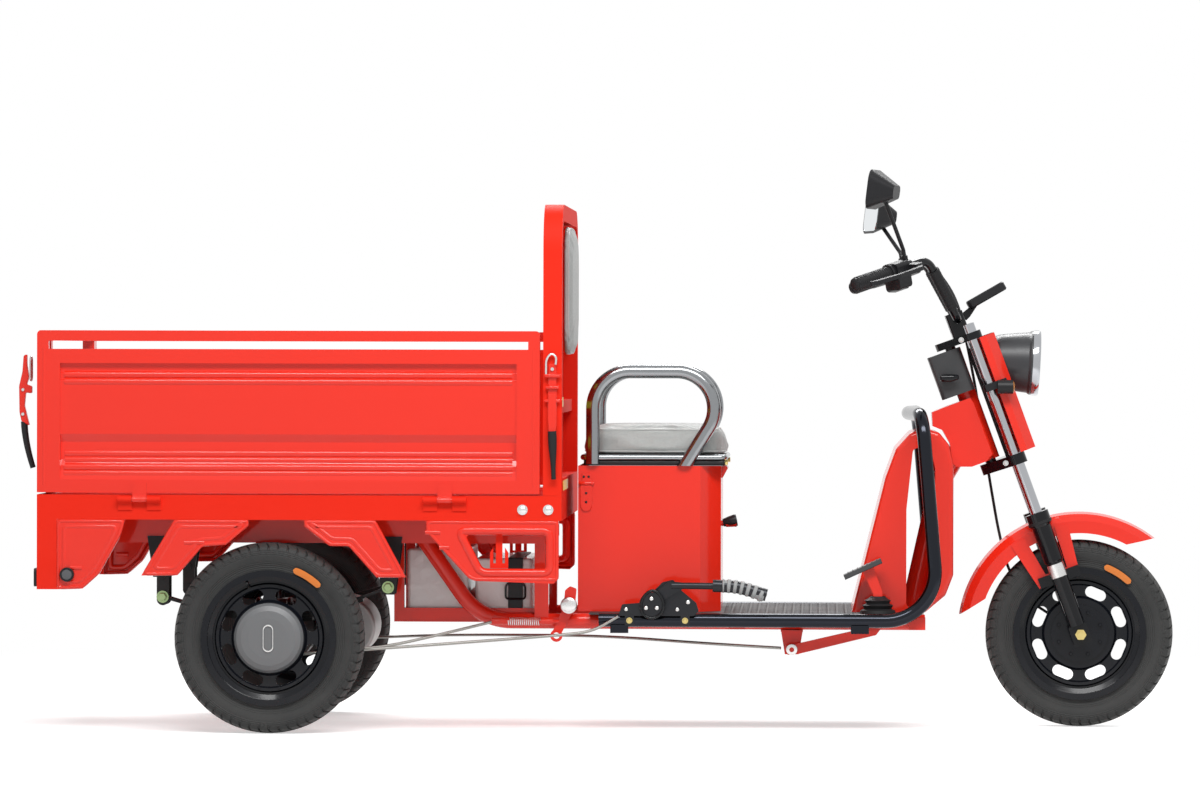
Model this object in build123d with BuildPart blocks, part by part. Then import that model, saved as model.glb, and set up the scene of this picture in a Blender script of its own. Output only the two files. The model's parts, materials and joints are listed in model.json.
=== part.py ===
"""Electric cargo tricycle: drop-side load bed on two rear wheels, seat box, foot well and a raked front fork.

Millimetres. +X points forwards, +Y to the rider's left, +Z up. The origin is on the floor,
under the middle of the machine. Every sub-part is one STEP file in parts/.
"""
from build123d import *
from math import cos, radians, sin, tan
import os

os.makedirs("parts", exist_ok=True)

# Fits and gaps
running_fit = 0.05        # radial play of a shaft in its bore
rest_gap = 0.3            # stand-off of a piece from what carries it
pin_gap = 1.0             # side play between hinge knuckles
swing_gap = 5.0           # air round anything that moves

# Wheels and axles
tyre_radius = 231.0
tyre_width = 80.0
wheelbase = 1970.0
track = 790.0
front_axle_x = 1172.0
rear_axle_x = front_axle_x - wheelbase
rim_flange_radius = 164.0
rim_half_width = 38.0
rim_sheet = 3.0
bead_seat_radius = 151.8
front_spindle_radius = 7.5
rear_spindle_radius = 14.0
slot_circle_radius = 105.0
slot_count = 8
slot_length = 53.0
slot_width = 27.0

# Load bed
bed_width = 900.0
bed_rear_x = -1357.0
bed_front_x = -90.0
rail_top_z = 577.0
rail_height = 60.0
rail_width = 40.0
sheet = 2.0
deck_side_gap = 35.0
gate_height = 391.0
gate_thickness = 30.0
gate_stile = 56.0
gate_top_rail = 25.0
gate_slot_height = 20.0
gate_top_bar = 34.0
gate_bottom_bar = 31.0
headboard_depth = 45.0
headboard_top_z = 1280.0
headboard_post = 40.0
headboard_corner_radius = 110.0
skirt_bottom_z = 380.0
corner_bottom_z = 348.0

# Gate hinges
hinge_radius = 7.5
hinge_pin_radius = 4.0
hinge_length = 104.0
hinge_leaf = 3.0
hinge_below_rail = 11.0
side_hinge_places = (-1108.0, -371.0)
tail_hinge_places = (-250.0, 250.0)

# Chassis under the bed
beam_spacing = 560.0
beam_width = 50.0
beam_height = 60.0
leaf_thickness = 7.0
leaf_width = 50.0
leaf_count = 4
axle_tube_radius = 30.0
motor_radius = 75.0

# Foot well and seat
floor_top_z = 288.0
floor_sheet = 3.0
floor_tube_radius = 19.0
floor_tube_spacing = 450.0
floor_front_x = 787.0
loop_spacing = 626.0
loop_radius = 17.0
loop_bottom_z = 273.0
loop_top_z = 773.0
seat_box_rear_x = -61.0
seat_box_front_x = 288.0
seat_box_width = 400.0
seat_box_top_z = 645.0
seat_box_chamfer = 50.0
seat_cushion_height = 76.0
armrest_radius = 17.0
armrest_spacing = 396.0
armrest_top_z = 876.0
armrest_reach = 344.0
armrest_bend = 91.0
shield_width = 380.0
shield_sheet = 2.5

# Steering, measured in a frame that leans back with the fork
rake = 20.0
fork_spacing = 164.0
steer_offset = 60.0
stanchion_radius = 14.0
stem_radius = 13.0
lower_yoke_t = 446.0
upper_yoke_t = 772.0
yoke_thickness = 26.0
top_yoke_thickness = 18.0
mudguard_radius = 300.0
mudguard_width = 100.0
mudguard_sheet = 2.5
bar_radius = 11.0
bar_half_width = 352.0

# Values worked out from the ones above
wheel_y = track / 2
axle_z = tyre_radius
bed_side_y = bed_width / 2
rail_bottom_z = rail_top_z - rail_height
gate_bottom_z = rail_top_z + swing_gap
gate_top_z = gate_bottom_z + gate_height
gate_front_x = bed_front_x - headboard_depth - swing_gap - 3.0
gate_inner_y = bed_side_y - gate_thickness
tail_half_width = gate_inner_y - swing_gap
hinge_z = rail_top_z - hinge_below_rail
hinge_stand = hinge_radius + pin_gap
knuckle_length = hinge_length / 3
fork = Plane(
    origin=(front_axle_x, 0, axle_z),
    x_dir=(cos(radians(rake)), 0, sin(radians(rake))),
    z_dir=(-sin(radians(rake)), 0, cos(radians(rake))),
)
leg_y = fork_spacing / 2


def finish(piece, name):
    """Label a finished sub-part and write its STEP file."""
    piece.part.label = name
    export_step(piece.part, f"parts/{name}.step")


def between(start, end, share):
    """The place that lies a share of the way from start to end."""
    return start + share * (end - start)


def fork_point(x, y, t):
    """World point at x ahead of the fork legs, y to the left, t up the legs from the axle."""
    return fork.from_local_coords(Vector(x, y, t))


def bent_tube(points, radii, radius):
    """A round bar along straight runs joined by tangent arcs."""
    with BuildPart() as tube:
        with BuildLine() as path:
            FilletPolyline(*points, radius=radii)
        with BuildSketch(Plane(origin=path.line @ 0, z_dir=path.line % 0)):
            Circle(radius)
        sweep()
    return tube.part


def easy_radii(points):
    """Largest bend at each corner: 0.45 of the shorter run over the tangent of half the turn."""
    spots = [Vector(*p) for p in points]
    radii = []
    for before, corner, after in zip(spots, spots[1:], spots[2:]):
        run_in = corner - before
        run_out = after - corner
        half_turn = radians(run_in.get_angle(run_out)) / 2
        radii.append(0.45 * min(run_in.length, run_out.length) / tan(half_turn))
    return radii


def straight_bar(start, end, radius):
    """A round bar from one point to another."""
    start = Vector(*start)
    end = Vector(*end)
    with BuildPart() as bar:
        with BuildSketch(Plane(origin=start, z_dir=end - start)):
            Circle(radius)
        extrude(amount=(end - start).length)
    return bar.part


def along_y(x, z, radius, y_from, y_to):
    """A round bar across the machine."""
    return straight_bar((x, y_from, z), (x, y_to, z), radius)


def axle_plane(x, y):
    """Plane through a wheel's axis: first direction along the axle, second straight up."""
    return Plane(origin=(x, y, axle_z), x_dir=(0, 1, 0), z_dir=(1, 0, 0))


def axle_axis(x):
    """The line about which a wheel turns."""
    return Axis((x, 0, axle_z), (0, 1, 0))


# ---------------------------------------------------------------- wheels
def build_tyre(x, y, name):
    """Road tyre: crowned tread, bulging side walls, bead inside the rim flanges, open to the rim."""
    half = tyre_width / 2
    wall = 8.0
    shoulder_r = tyre_radius - 9
    bead_r = bead_seat_radius + rest_gap
    with BuildPart() as tyre:
        with BuildSketch(axle_plane(x, y)):
            with BuildLine():
                crown = ThreePointArc((half - 6, shoulder_r), (0, tyre_radius), (6 - half, shoulder_r))
                outer = ThreePointArc(crown @ 1, (-half, tyre_radius - 32), (9 - half, tyre_radius - 60))
                toe = Polyline(outer @ 1, (9 - half, bead_r), (9 - half + wall, bead_r))
                liner_top = (wall + 6 - half, shoulder_r - wall)
                liner = ThreePointArc(toe @ 1, (wall + 1 - half, tyre_radius - 38), liner_top)
                liner_end = (half - 6 - wall, shoulder_r - wall)
                inner = ThreePointArc(liner @ 1, (0, tyre_radius - wall - 1), liner_end)
                bead_end = (half - 9 - wall, bead_r)
                liner = ThreePointArc(inner @ 1, (half - wall - 1, tyre_radius - 38), bead_end)
                toe = Polyline(liner @ 1, (half - 9, bead_r), (half - 9, tyre_radius - 60))
                ThreePointArc(toe @ 1, (half, tyre_radius - 32), crown @ 0)
            make_face()
        revolve(axis=axle_axis(x))
    finish(tyre, name)


def build_rim(x, y, outward, bore_radius, drum, name):
    """Pressed steel wheel: flanged barrel, stepped disc with a ring of slots, hub and brake drum."""
    side = rim_half_width
    seat = bead_seat_radius
    well = seat - 11
    inner = rim_sheet
    with BuildPart() as rim:
        with BuildSketch(axle_plane(x, y)):
            with BuildLine():
                Polyline(
                    (-side, rim_flange_radius), (-side + 2.6, rim_flange_radius),
                    (-side + 2.6, seat), (-18, seat),
                    (-13, well), (13, well), (18, seat), (side - 2.6, seat),
                    (side - 2.6, rim_flange_radius),
                    (side, rim_flange_radius), (side, seat - inner), (20, seat - inner), (15, well - inner),
                    (-15, well - inner), (-20, seat - inner), (-side, seat - inner), close=True,
                )
            make_face()
            with BuildLine():
                Polyline(
                    (outward * 4, well), (outward * 8, well), (outward * 8, 133), (outward * 16, 129),
                    (outward * 16, 122), (outward * 12, 118), (outward * 12, 92), (outward * 20, 86),
                    (outward * 20, 60), (outward * 16, 60), (outward * 16, 84), (outward * 8, 90),
                    (outward * 8, 120), (outward * 12, 123), (outward * 12, 127),
                    (outward * 4, 131), close=True,
                )
            make_face()
            with BuildLine():
                Polyline(*[(outward * a, r) for a, r in drum], close=True)
            make_face()
        revolve(axis=axle_axis(x))
        with BuildSketch(Plane(origin=(x, y, axle_z), x_dir=(1, 0, 0), z_dir=(0, -1, 0))):
            with PolarLocations(slot_circle_radius, slot_count, start_angle=22.5):
                SlotOverall(slot_length, slot_width, rotation=90)
        extrude(amount=rim_half_width, both=True, mode=Mode.SUBTRACT)
        with BuildSketch(Plane(origin=(x, y, axle_z), x_dir=(1, 0, 0), z_dir=(0, -1, 0))):
            Circle(bore_radius)
        extrude(amount=tyre_width, both=True, mode=Mode.SUBTRACT)
    finish(rim, name)


def build_hub_cap(x, y, outward, name):
    """Domed hub cap with a raised oval ring, left plain inside the ring."""
    face = Plane(origin=(x, y + outward * 44, axle_z), x_dir=(1, 0, 0), z_dir=(0, outward, 0))
    with BuildPart() as cap:
        with BuildSketch(axle_plane(x, y)):
            with BuildLine():
                Polyline(
                    (outward * 20.3, 84), (outward * 28, 84), (outward * 36, 78), (outward * 42, 66),
                    (outward * 44, 48), (outward * 44, 0), (outward * 41, 0), (outward * 41, 48),
                    (outward * 39, 64), (outward * 33, 75.5), (outward * 26, 81),
                    (outward * 20.3, 81), close=True,
                )
            make_face()
        revolve(axis=axle_axis(x))
        with BuildSketch(face):
            SlotOverall(66, 27, rotation=90)
            SlotOverall(58, 19, rotation=90, mode=Mode.SUBTRACT)
        extrude(amount=1.5)
    finish(cap, name)


# Drum sections are (distance outward from the wheel's middle, radius)
rear_drum = [
    (20, 66), (20, 14), (-30, 14), (-30, 30), (12, 30), (12, 70), (-34, 70), (-34, 76), (14, 76), (14, 66)
]
front_drum = [
    (28, 70), (28, 24), (40, 22), (40, 7), (-26, 7), (-26, 20), (22, 22), (22, 64), (-26, 64), (-26, 70)
]

build_tyre(front_axle_x, 0, "front_tyre")
build_rim(front_axle_x, 0, -1, front_spindle_radius + running_fit, front_drum, "front_rim")
for side_name, side in (("left", 1), ("right", -1)):
    build_tyre(rear_axle_x, side * wheel_y, f"rear_{side_name}_tyre")
    build_rim(
        rear_axle_x, side * wheel_y, side, rear_spindle_radius + running_fit, rear_drum,
        f"rear_{side_name}_rim",
    )
    build_hub_cap(rear_axle_x, side * wheel_y, side, f"rear_{side_name}_cap")


# ---------------------------------------------------------------- load bed
def hinge_knuckle(plane, leaf_from, leaf_to, bore, start, length):
    """One hinge knuckle with its leaf, drawn in a plane across the hinge line and pushed along it."""
    with BuildPart() as knuckle:
        with BuildSketch(plane.offset(start)):
            Circle(hinge_radius)
            with BuildLine():
                Polyline(*leaf_from, *leaf_to, close=True)
            make_face()
            if bore > 0:
                Circle(bore, mode=Mode.SUBTRACT)
        extrude(amount=length)
    return knuckle.part


def hinge_parts(place, plane):
    """Fixed knuckles with the pin, and the knuckle that swings with the gate, for one hinge.

    In the plane the first direction points away from the bed and the second straight up.
    """
    face = -hinge_stand
    fixed_from = [(face, 0), (face, -26)]
    fixed_to = [(face + hinge_leaf, -26), (face + hinge_leaf + 3, -4), (0, 0)]
    moving_from = [(0, 0), (face + pin_gap + hinge_leaf + 1, 6), (face + pin_gap + hinge_leaf, 12)]
    moving_to = [
        (face + pin_gap + hinge_leaf, 40), (face, 40), (face, hinge_below_rail + swing_gap + 4),
        (face + pin_gap, hinge_below_rail + swing_gap + 2), (face + pin_gap, 0),
    ]
    half = hinge_length / 2
    first = hinge_knuckle(plane, fixed_from, fixed_to, 0, place - half, knuckle_length - pin_gap)
    last = hinge_knuckle(
        plane, fixed_from, fixed_to, 0, place + half - knuckle_length + pin_gap, knuckle_length - pin_gap
    )
    with BuildPart() as pin:
        with BuildSketch(plane.offset(place - half)):
            Circle(hinge_pin_radius)
        extrude(amount=hinge_length)
    moving = hinge_knuckle(
        plane, moving_from, moving_to, hinge_pin_radius + running_fit,
        place - knuckle_length / 2, knuckle_length,
    )
    return [first, last, pin.part], moving


side_hinge_plane = Plane(origin=(0, -bed_side_y - hinge_stand, hinge_z), x_dir=(0, -1, 0), z_dir=(-1, 0, 0))
tail_hinge_plane = Plane(origin=(bed_rear_x - hinge_stand, 0, hinge_z), x_dir=(-1, 0, 0), z_dir=(0, 1, 0))

side_fixed = []
side_moving = []
for place in side_hinge_places:
    fixed, moving = hinge_parts(-place, side_hinge_plane)
    side_fixed += fixed
    side_moving.append(moving)
tail_fixed = []
tail_moving = []
for place in tail_hinge_places:
    fixed, moving = hinge_parts(place, tail_hinge_plane)
    tail_fixed += fixed
    tail_moving.append(moving)

cross_places = (
    between(bed_rear_x, rear_axle_x, 0.567), rear_axle_x, between(rear_axle_x, bed_front_x, 0.421),
    bed_front_x - 1.5 * rail_width - rest_gap,
)
with BuildPart() as bed_frame:
    with BuildSketch(Plane.XY.offset(rail_bottom_z)):
        with Locations(((bed_rear_x + bed_front_x) / 2, 0)):
            Rectangle(bed_front_x - bed_rear_x, bed_width)
            inside_length = bed_front_x - bed_rear_x - 2 * rail_width
            Rectangle(inside_length, bed_width - 2 * rail_width, mode=Mode.SUBTRACT)
    extrude(amount=rail_height)
    # folded corner posts below the rear corners
    post_long = 48.0
    post_deep = 60.0
    for side in (1, -1):
        with BuildSketch(Plane.XY.offset(corner_bottom_z)):
            with BuildLine():
                Polyline(
                    (bed_rear_x, side * bed_side_y), (bed_rear_x + post_long, side * bed_side_y),
                    (bed_rear_x + post_long, side * (bed_side_y - 3)),
                    (bed_rear_x + 3, side * (bed_side_y - 3)),
                    (bed_rear_x + 3, side * (bed_side_y - post_deep)),
                    (bed_rear_x, side * (bed_side_y - post_deep)),
                    close=True,
                )
            make_face()
        extrude(amount=rail_bottom_z - corner_bottom_z)
    # rope hooks behind the window guards
    for side in (1, -1):
        hook_face = Plane(origin=(-241, side * (bed_side_y - 22), 0), x_dir=(1, 0, 0), z_dir=(0, -1, 0))
        with BuildSketch(hook_face):
            with BuildLine():
                Polyline((-8, rail_bottom_z), (8, rail_bottom_z), (8, 402), (-8, 402), close=True)
            make_face()
            for turn in (1, -1):
                with BuildLine():
                    Polyline(
                        (turn * 8, 402), (turn * 22, 402), (turn * 22, 440), (turn * 14, 452),
                        (turn * 14, 414),
                        (turn * 8, 414), close=True,
                    )
                make_face()
        extrude(amount=-4 * side)
    for piece in side_fixed:
        add(piece)
        add(piece.mirror(Plane.XZ))
    for piece in tail_fixed:
        add(piece)
finish(bed_frame, "bed_frame")

with BuildPart() as bed_bearers:
    bearer_rear_x = bed_rear_x + rail_width + rest_gap
    bearer_front_x = bed_front_x - rail_width - rest_gap
    with BuildSketch(Plane.XY.offset(rail_bottom_z)):
        for x in cross_places:
            with Locations((x, 0)):
                Rectangle(rail_width, bed_width - 2 * rail_width - 2 * rest_gap)
    extrude(amount=rail_height)
    # long beams that carry the springs
    with BuildSketch(Plane.XY.offset(rail_bottom_z - beam_height)):
        with Locations(((bearer_rear_x + bearer_front_x) / 2, 0)):
            with GridLocations(1, beam_spacing, 1, 2):
                Rectangle(bearer_front_x - bearer_rear_x, beam_width)
    extrude(amount=beam_height)
finish(bed_bearers, "bed_bearers")

with BuildPart() as bed_deck:
    deck_front_x = bed_front_x - headboard_depth - rest_gap
    deck_rear_x = bed_rear_x + gate_thickness + swing_gap
    with BuildSketch(Plane.XY.offset(rail_top_z)):
        with Locations(((deck_front_x + deck_rear_x) / 2, 0)):
            Rectangle(deck_front_x - deck_rear_x, bed_width - 2 * deck_side_gap)
    extrude(amount=sheet)
finish(bed_deck, "bed_deck")

# Pressed gate sheet: (height above the bottom bar, depth behind the outer face)
press_steps = [
    (0, 2), (24, 9), (34, 9), (48, 16), (91, 16), (110, 4), (240, 4), (242, 8), (257, 8), (259, 12)
]


def build_gate(face, end_a, end_b, hinge_leaves):
    """Drop-side gate: welded frame, rope slot under its top rail, pressed sheet between the stiles.

    In the face plane the first direction runs along the gate, the second up and the third out of the bed.
    """
    length = end_b - end_a
    middle = (end_a + end_b) / 2
    slot_low = gate_top_z - gate_top_rail - gate_slot_height
    panel_low = gate_bottom_z + gate_bottom_bar
    panel_high = slot_low - gate_top_bar
    press_end = (panel_high - panel_low, press_steps[-1][1])
    steps = [step for step in press_steps if step[0] < press_end[0]] + [press_end]
    front_line = [(depth, panel_low + rise) for rise, depth in steps]
    back_line = [(depth + sheet, height) for depth, height in reversed(front_line)]
    section_start = face.origin + face.x_dir * (end_a + gate_stile)
    section = Plane(origin=section_start, x_dir=-face.z_dir, z_dir=face.x_dir)
    with BuildPart() as gate:
        with BuildSketch(face):
            with Locations((middle, (gate_bottom_z + gate_top_z) / 2)):
                outline = Rectangle(length, gate_height)
            fillet(outline.vertices().group_by(Axis.Y)[-1], radius=10)
            with Locations((middle, (panel_low + panel_high) / 2)):
                Rectangle(length - 2 * gate_stile, panel_high - panel_low, mode=Mode.SUBTRACT)
            with Locations((middle, slot_low + gate_slot_height / 2)):
                Rectangle(length - gate_stile, gate_slot_height, mode=Mode.SUBTRACT)
        extrude(amount=-gate_thickness)
        with BuildSketch(section):
            with BuildLine():
                Polyline(*front_line, *back_line, close=True)
            make_face()
        extrude(amount=length - 2 * gate_stile)
        for leaf in hinge_leaves:
            add(leaf)
    return gate


right_face = Plane(origin=(0, -bed_side_y, 0), x_dir=(1, 0, 0), z_dir=(0, -1, 0))
rear_face = Plane(origin=(bed_rear_x, 0, 0), x_dir=(0, -1, 0), z_dir=(-1, 0, 0))
side_gate_right = build_gate(right_face, bed_rear_x, gate_front_x, side_moving)
finish(side_gate_right, "side_gate_right")
with BuildPart() as side_gate_left:
    add(side_gate_right.part)
    mirror(about=Plane.XZ, mode=Mode.REPLACE)
finish(side_gate_left, "side_gate_left")
finish(build_gate(rear_face, -tail_half_width, tail_half_width, tail_moving), "tailgate")


latch_width = 14.0
latch_y = tail_half_width - 14.0
latch_low_z = gate_bottom_z + 2.0
with BuildPart() as tail_latches:
    for side in (1, -1):
        work_face = Plane(origin=(bed_rear_x, side * latch_y, latch_low_z), x_dir=(-1, 0, 0), z_dir=(0, 1, 0))
        with BuildSketch(work_face):
            with BuildLine():
                Polyline(
                    (0.3, 308), (4, 332), (10, 330), (12, 290), (20, 306), (27, 304), (24, 262),
                    (38, 234), (46, 205),
                    (38, 146), (26, 96), (12, 56), (5, 60), (14, 100), (26, 150), (30, 190),
                    (18, 220), (14, 240),
                    (0.3, 240), close=True,
                )
            make_face()
        extrude(amount=latch_width / 2, both=True)
finish(tail_latches, "tail_latches")

# ---------------------------------------------------------------- headboard
board_bar_depth = 24.0
with BuildPart() as headboard:
    board = Plane(origin=(bed_front_x, 0, 0), x_dir=(0, 1, 0), z_dir=(1, 0, 0))
    board_low = rail_top_z + rest_gap
    board_height = headboard_top_z - board_low
    with BuildSketch(board):
        with Locations((0, board_low + board_height / 2)):
            outline = Rectangle(bed_width, board_height)
        fillet(outline.vertices().group_by(Axis.Y)[-1], radius=headboard_corner_radius)
        offset(amount=-headboard_post, kind=Kind.INTERSECTION, mode=Mode.SUBTRACT)
    extrude(amount=-headboard_depth)
    with BuildSketch(board.offset(-headboard_depth + 8)):
        with Locations((0, board_low + board_height / 2)):
            Rectangle(bed_width - 2 * headboard_post + 2, board_height - headboard_post - 40)
    extrude(amount=sheet)
    with BuildSketch(board.offset(-headboard_depth + 8)):
        for level in (0.3, 0.55, 0.85):
            with Locations((0, board_low + board_height * level)):
                Rectangle(bed_width - 2 * headboard_post + 2, 30)
    extrude(amount=board_bar_depth)
finish(headboard, "headboard")

back_low_z = 911.0
back_high_z = headboard_top_z - headboard_post - 4
back_width = 400.0
back_plate_depth = 6.0
back_cushion_depth = 18.0
back_x = bed_front_x - headboard_depth + 8 + board_bar_depth + rest_gap
with BuildPart() as backrest_plate:
    with BuildSketch(Plane(origin=(back_x, 0, 0), x_dir=(0, 1, 0), z_dir=(1, 0, 0))):
        with Locations((0, (back_low_z + back_high_z) / 2)):
            RectangleRounded(back_width - 60, back_high_z - back_low_z - 20, 40)
    extrude(amount=back_plate_depth)
finish(backrest_plate, "backrest_plate")

with BuildPart() as backrest_cushion:
    cushion_back_x = back_x + back_plate_depth + rest_gap
    cushion_back = Plane(origin=(cushion_back_x, 0, 0), x_dir=(0, 1, 0), z_dir=(1, 0, 0))
    with BuildSketch(cushion_back):
        with Locations((0, (back_low_z + back_high_z) / 2)):
            RectangleRounded(back_width, back_high_z - back_low_z, 45)
    extrude(amount=back_cushion_depth)
    fillet(backrest_cushion.faces().sort_by(Axis.X)[-1].edges(), radius=10)
finish(backrest_cushion, "backrest_cushion")

with BuildPart() as front_latches:
    post_mid_x = bed_front_x - headboard_depth / 2
    for side in (1, -1):
        with BuildSketch(Plane(origin=(post_mid_x, side * (bed_side_y + rest_gap), 0),
                               x_dir=(0, side, 0), z_dir=(side, 0, 0))):
            with BuildLine():
                Polyline(
                    (0, 912), (6, 922), (16, 918), (18, 900), (10, 884), (20, 862), (22, 800),
                    (18, 740), (20, 724),
                    (16, 630), (8, 616), (3, 630), (4, 724), (0, 740), close=True,
                )
            make_face()
        extrude(amount=11, both=True)
finish(front_latches, "front_latches")

# ---------------------------------------------------------------- sheet skirts under the bed
skirt_sheet = 2.0
skirt_flange = 16.0
guard_front_x = -97.0


def skirt_outline(points, hole):
    """A pressed skirt panel: flange folded in all round, open behind, window cut where given."""
    with BuildPart() as panel:
        with BuildSketch(right_face):
            with BuildLine():
                Polyline(*points, close=True)
            make_face()
        extrude(amount=-skirt_flange)
        offset(amount=-skirt_sheet, openings=panel.faces().sort_by(Axis.Y)[-1])
        if hole:
            with BuildSketch(right_face):
                with BuildLine():
                    Polyline(*hole, close=True)
                window = make_face()
                fillet(window.vertices(), radius=9)
            extrude(amount=-skirt_flange, mode=Mode.SUBTRACT)
            with BuildSketch(right_face):
                add(window)
                fillet(window.vertices(), radius=9)
                offset(amount=skirt_sheet)
                add(window, mode=Mode.SUBTRACT)
            extrude(amount=-skirt_flange)
    return panel.part


skirt_top = rail_bottom_z - rest_gap
corner_x = bed_rear_x + post_long + rest_gap
arch_rear_x = rear_axle_x - 226.0
arch_front_x = rear_axle_x + 88.0


def behind_arch(share):
    """X at a share of the way from the corner post to the rear end of the wheel arch."""
    return between(corner_x, arch_rear_x, share)


def ahead_of_arch(share):
    """X at a share of the way from the front end of the wheel arch to the window guard's front edge."""
    return between(arch_front_x, guard_front_x, share)


skirts = [
    skirt_outline(
        [
            (corner_x, skirt_top), (behind_arch(0.58), skirt_top), (behind_arch(0.54), 478),
            (behind_arch(0.36), 386), (behind_arch(0.22), 350), (corner_x, corner_bottom_z),
        ], None,
    ),
    skirt_outline(
        [
            (arch_rear_x, skirt_top), (rear_axle_x - 47, skirt_top), (rear_axle_x - 47, 503),
            (rear_axle_x - 101, 457), (rear_axle_x - 158, 453), (arch_rear_x + 7, skirt_bottom_z + 3),
            (behind_arch(0.72), skirt_bottom_z + 2),
        ], None,
    ),
    skirt_outline(
        [
            (arch_front_x, skirt_top), (ahead_of_arch(0.28), skirt_top),
            (ahead_of_arch(0.40), skirt_bottom_z),
            (ahead_of_arch(0.285), skirt_bottom_z), (ahead_of_arch(0.175), 455), (ahead_of_arch(0.1), 455),
            (arch_front_x, 502),
        ], None,
    ),
    skirt_outline(
        [
            (ahead_of_arch(0.48), skirt_top), (guard_front_x, skirt_top), (guard_front_x, 378),
            (guard_front_x - 12, 366), (ahead_of_arch(0.675), 372), (ahead_of_arch(0.648), 378),
            (ahead_of_arch(0.48), 490),
        ],
        [
            (ahead_of_arch(0.63), 484), (guard_front_x - 30, 484), (guard_front_x - 30, 400),
            (ahead_of_arch(0.7), 400),
        ],
    ),
]
with BuildPart() as skirt_panels:
    for skirt in skirts:
        add(skirt)
        add(skirt.mirror(Plane.XZ))
finish(skirt_panels, "skirt_panels")

with BuildPart() as side_markers:
    for side in (1, -1):
        marker_spot = (bed_rear_x + 74, side * bed_side_y, 384)
        work_face = Plane(origin=marker_spot, x_dir=(1, 0, 0), z_dir=(0, side, 0))
        with BuildSketch(work_face):
            Circle(17)
        extrude(amount=8)
        with BuildSketch(Plane(origin=(bed_rear_x - rest_gap, side * (bed_side_y - 33), 376),
                               x_dir=(0, 1, 0), z_dir=(-1, 0, 0))):
            RectangleRounded(54, 44, 8)
        extrude(amount=8)
finish(side_markers, "side_markers")

# ---------------------------------------------------------------- springs, axle and motor
spring_y = beam_spacing / 2
beam_bottom_z = rail_bottom_z - beam_height
spring_front = (-518.0, 350.0)
spring_rear = (-1068.0, 325.0)
with BuildPart() as leaf_springs:
    seat_z = axle_z + axle_tube_radius + rest_gap
    main_z = seat_z + leaf_thickness * (leaf_count - 0.5)
    side_plane = Plane(origin=(0, spring_y, 0), x_dir=(1, 0, 0), z_dir=(0, -1, 0))
    with BuildSketch(side_plane):
        for leaf in range(leaf_count):
            drop = leaf * leaf_thickness
            share = 1 - 0.22 * leaf
            reach_front = rear_axle_x + (spring_front[0] - rear_axle_x) * share
            reach_rear = rear_axle_x + (spring_rear[0] - rear_axle_x) * share
            rise_front = (spring_front[1] - main_z) * share ** 2
            rise_rear = (spring_rear[1] - main_z) * share ** 2
            with BuildLine():
                upper = ThreePointArc(
                    (reach_front, main_z + rise_front - drop + leaf_thickness / 2),
                    (rear_axle_x, main_z - drop + leaf_thickness / 2),
                    (reach_rear, main_z + rise_rear - drop + leaf_thickness / 2),
                )
                lower = ThreePointArc(
                    (reach_front, main_z + rise_front - drop - leaf_thickness / 2),
                    (rear_axle_x, main_z - drop - leaf_thickness / 2),
                    (reach_rear, main_z + rise_rear - drop - leaf_thickness / 2),
                )
                Line(upper @ 0, lower @ 0)
                Line(upper @ 1, lower @ 1)
            make_face()
        for x, z in (spring_front, spring_rear):
            with Locations((x, z)):
                Circle(12)
    extrude(amount=leaf_width / 2, both=True)
    # hangers, shackle plates and eye bolts
    hanger_gap = beam_width / 2 + rest_gap
    for offset_y in (hanger_gap, -hanger_gap - 4):
        with BuildSketch(Plane(origin=(0, spring_y + offset_y + 4, 0), x_dir=(1, 0, 0), z_dir=(0, -1, 0))):
            for x, low, top_half, low_half in (
                (spring_front[0], spring_front[1] - 18, 34, 16),
                (spring_rear[0] - 4, spring_rear[1] + 48, 34, 20),
            ):
                with BuildLine():
                    Polyline(
                        (x - top_half, beam_bottom_z + 16), (x + top_half, beam_bottom_z + 16),
                        (x + low_half, low), (x - low_half, low), close=True,
                    )
                make_face()
            with Locations((spring_rear[0], spring_rear[1] + 24)):
                SlotOverall(90, 30, rotation=90)
        extrude(amount=4)
    with BuildSketch(Plane(origin=(0, spring_y, 0), x_dir=(1, 0, 0), z_dir=(0, -1, 0))):
        for x, z in (spring_front, spring_rear, (spring_rear[0], spring_rear[1] + 52)):
            with Locations((x, z)):
                Circle(7)
    extrude(amount=leaf_width / 2 + 10, both=True)
    mirror(about=Plane.XZ)
finish(leaf_springs, "leaf_springs")

brake_plate_y = wheel_y - rim_half_width - 6
with BuildPart() as rear_axle:
    with BuildSketch(axle_plane(rear_axle_x, 0)):
        with BuildLine():
            Polyline(
                (0, 78), (45, 78), (62, 62), (110, axle_tube_radius), (brake_plate_y - 8, axle_tube_radius),
                (brake_plate_y - 8, 82), (brake_plate_y, 82), (brake_plate_y, rear_spindle_radius),
                (wheel_y + 19.5, rear_spindle_radius), (wheel_y + 19.5, 0), (0, 0), close=True,
            )
        make_face()
    revolve(axis=axle_axis(rear_axle_x))
    work_face = Plane(origin=(rear_axle_x, brake_plate_y - 8, axle_z), x_dir=(1, 0, 0), z_dir=(0, -1, 0))
    with BuildSketch(work_face):
        with BuildLine():
            Polyline((-20, 30), (20, 30), (66, -34), (58, -50), (46, -46), (-20, 0), close=True)
        make_face()
    extrude(amount=6)
    mirror(about=Plane.XZ)
finish(rear_axle, "rear_axle")

motor_x = rear_axle_x + 78 + motor_radius + rest_gap
tray_clearance = 82.7
with BuildPart() as drive_motor:
    with BuildSketch(Plane(origin=(motor_x, 150, axle_z + 8), x_dir=(1, 0, 0), z_dir=(0, -1, 0))):
        Circle(motor_radius)
    extrude(amount=200)
    fillet(drive_motor.edges().filter_by(GeomType.CIRCLE), radius=8)
finish(drive_motor, "drive_motor")


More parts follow.
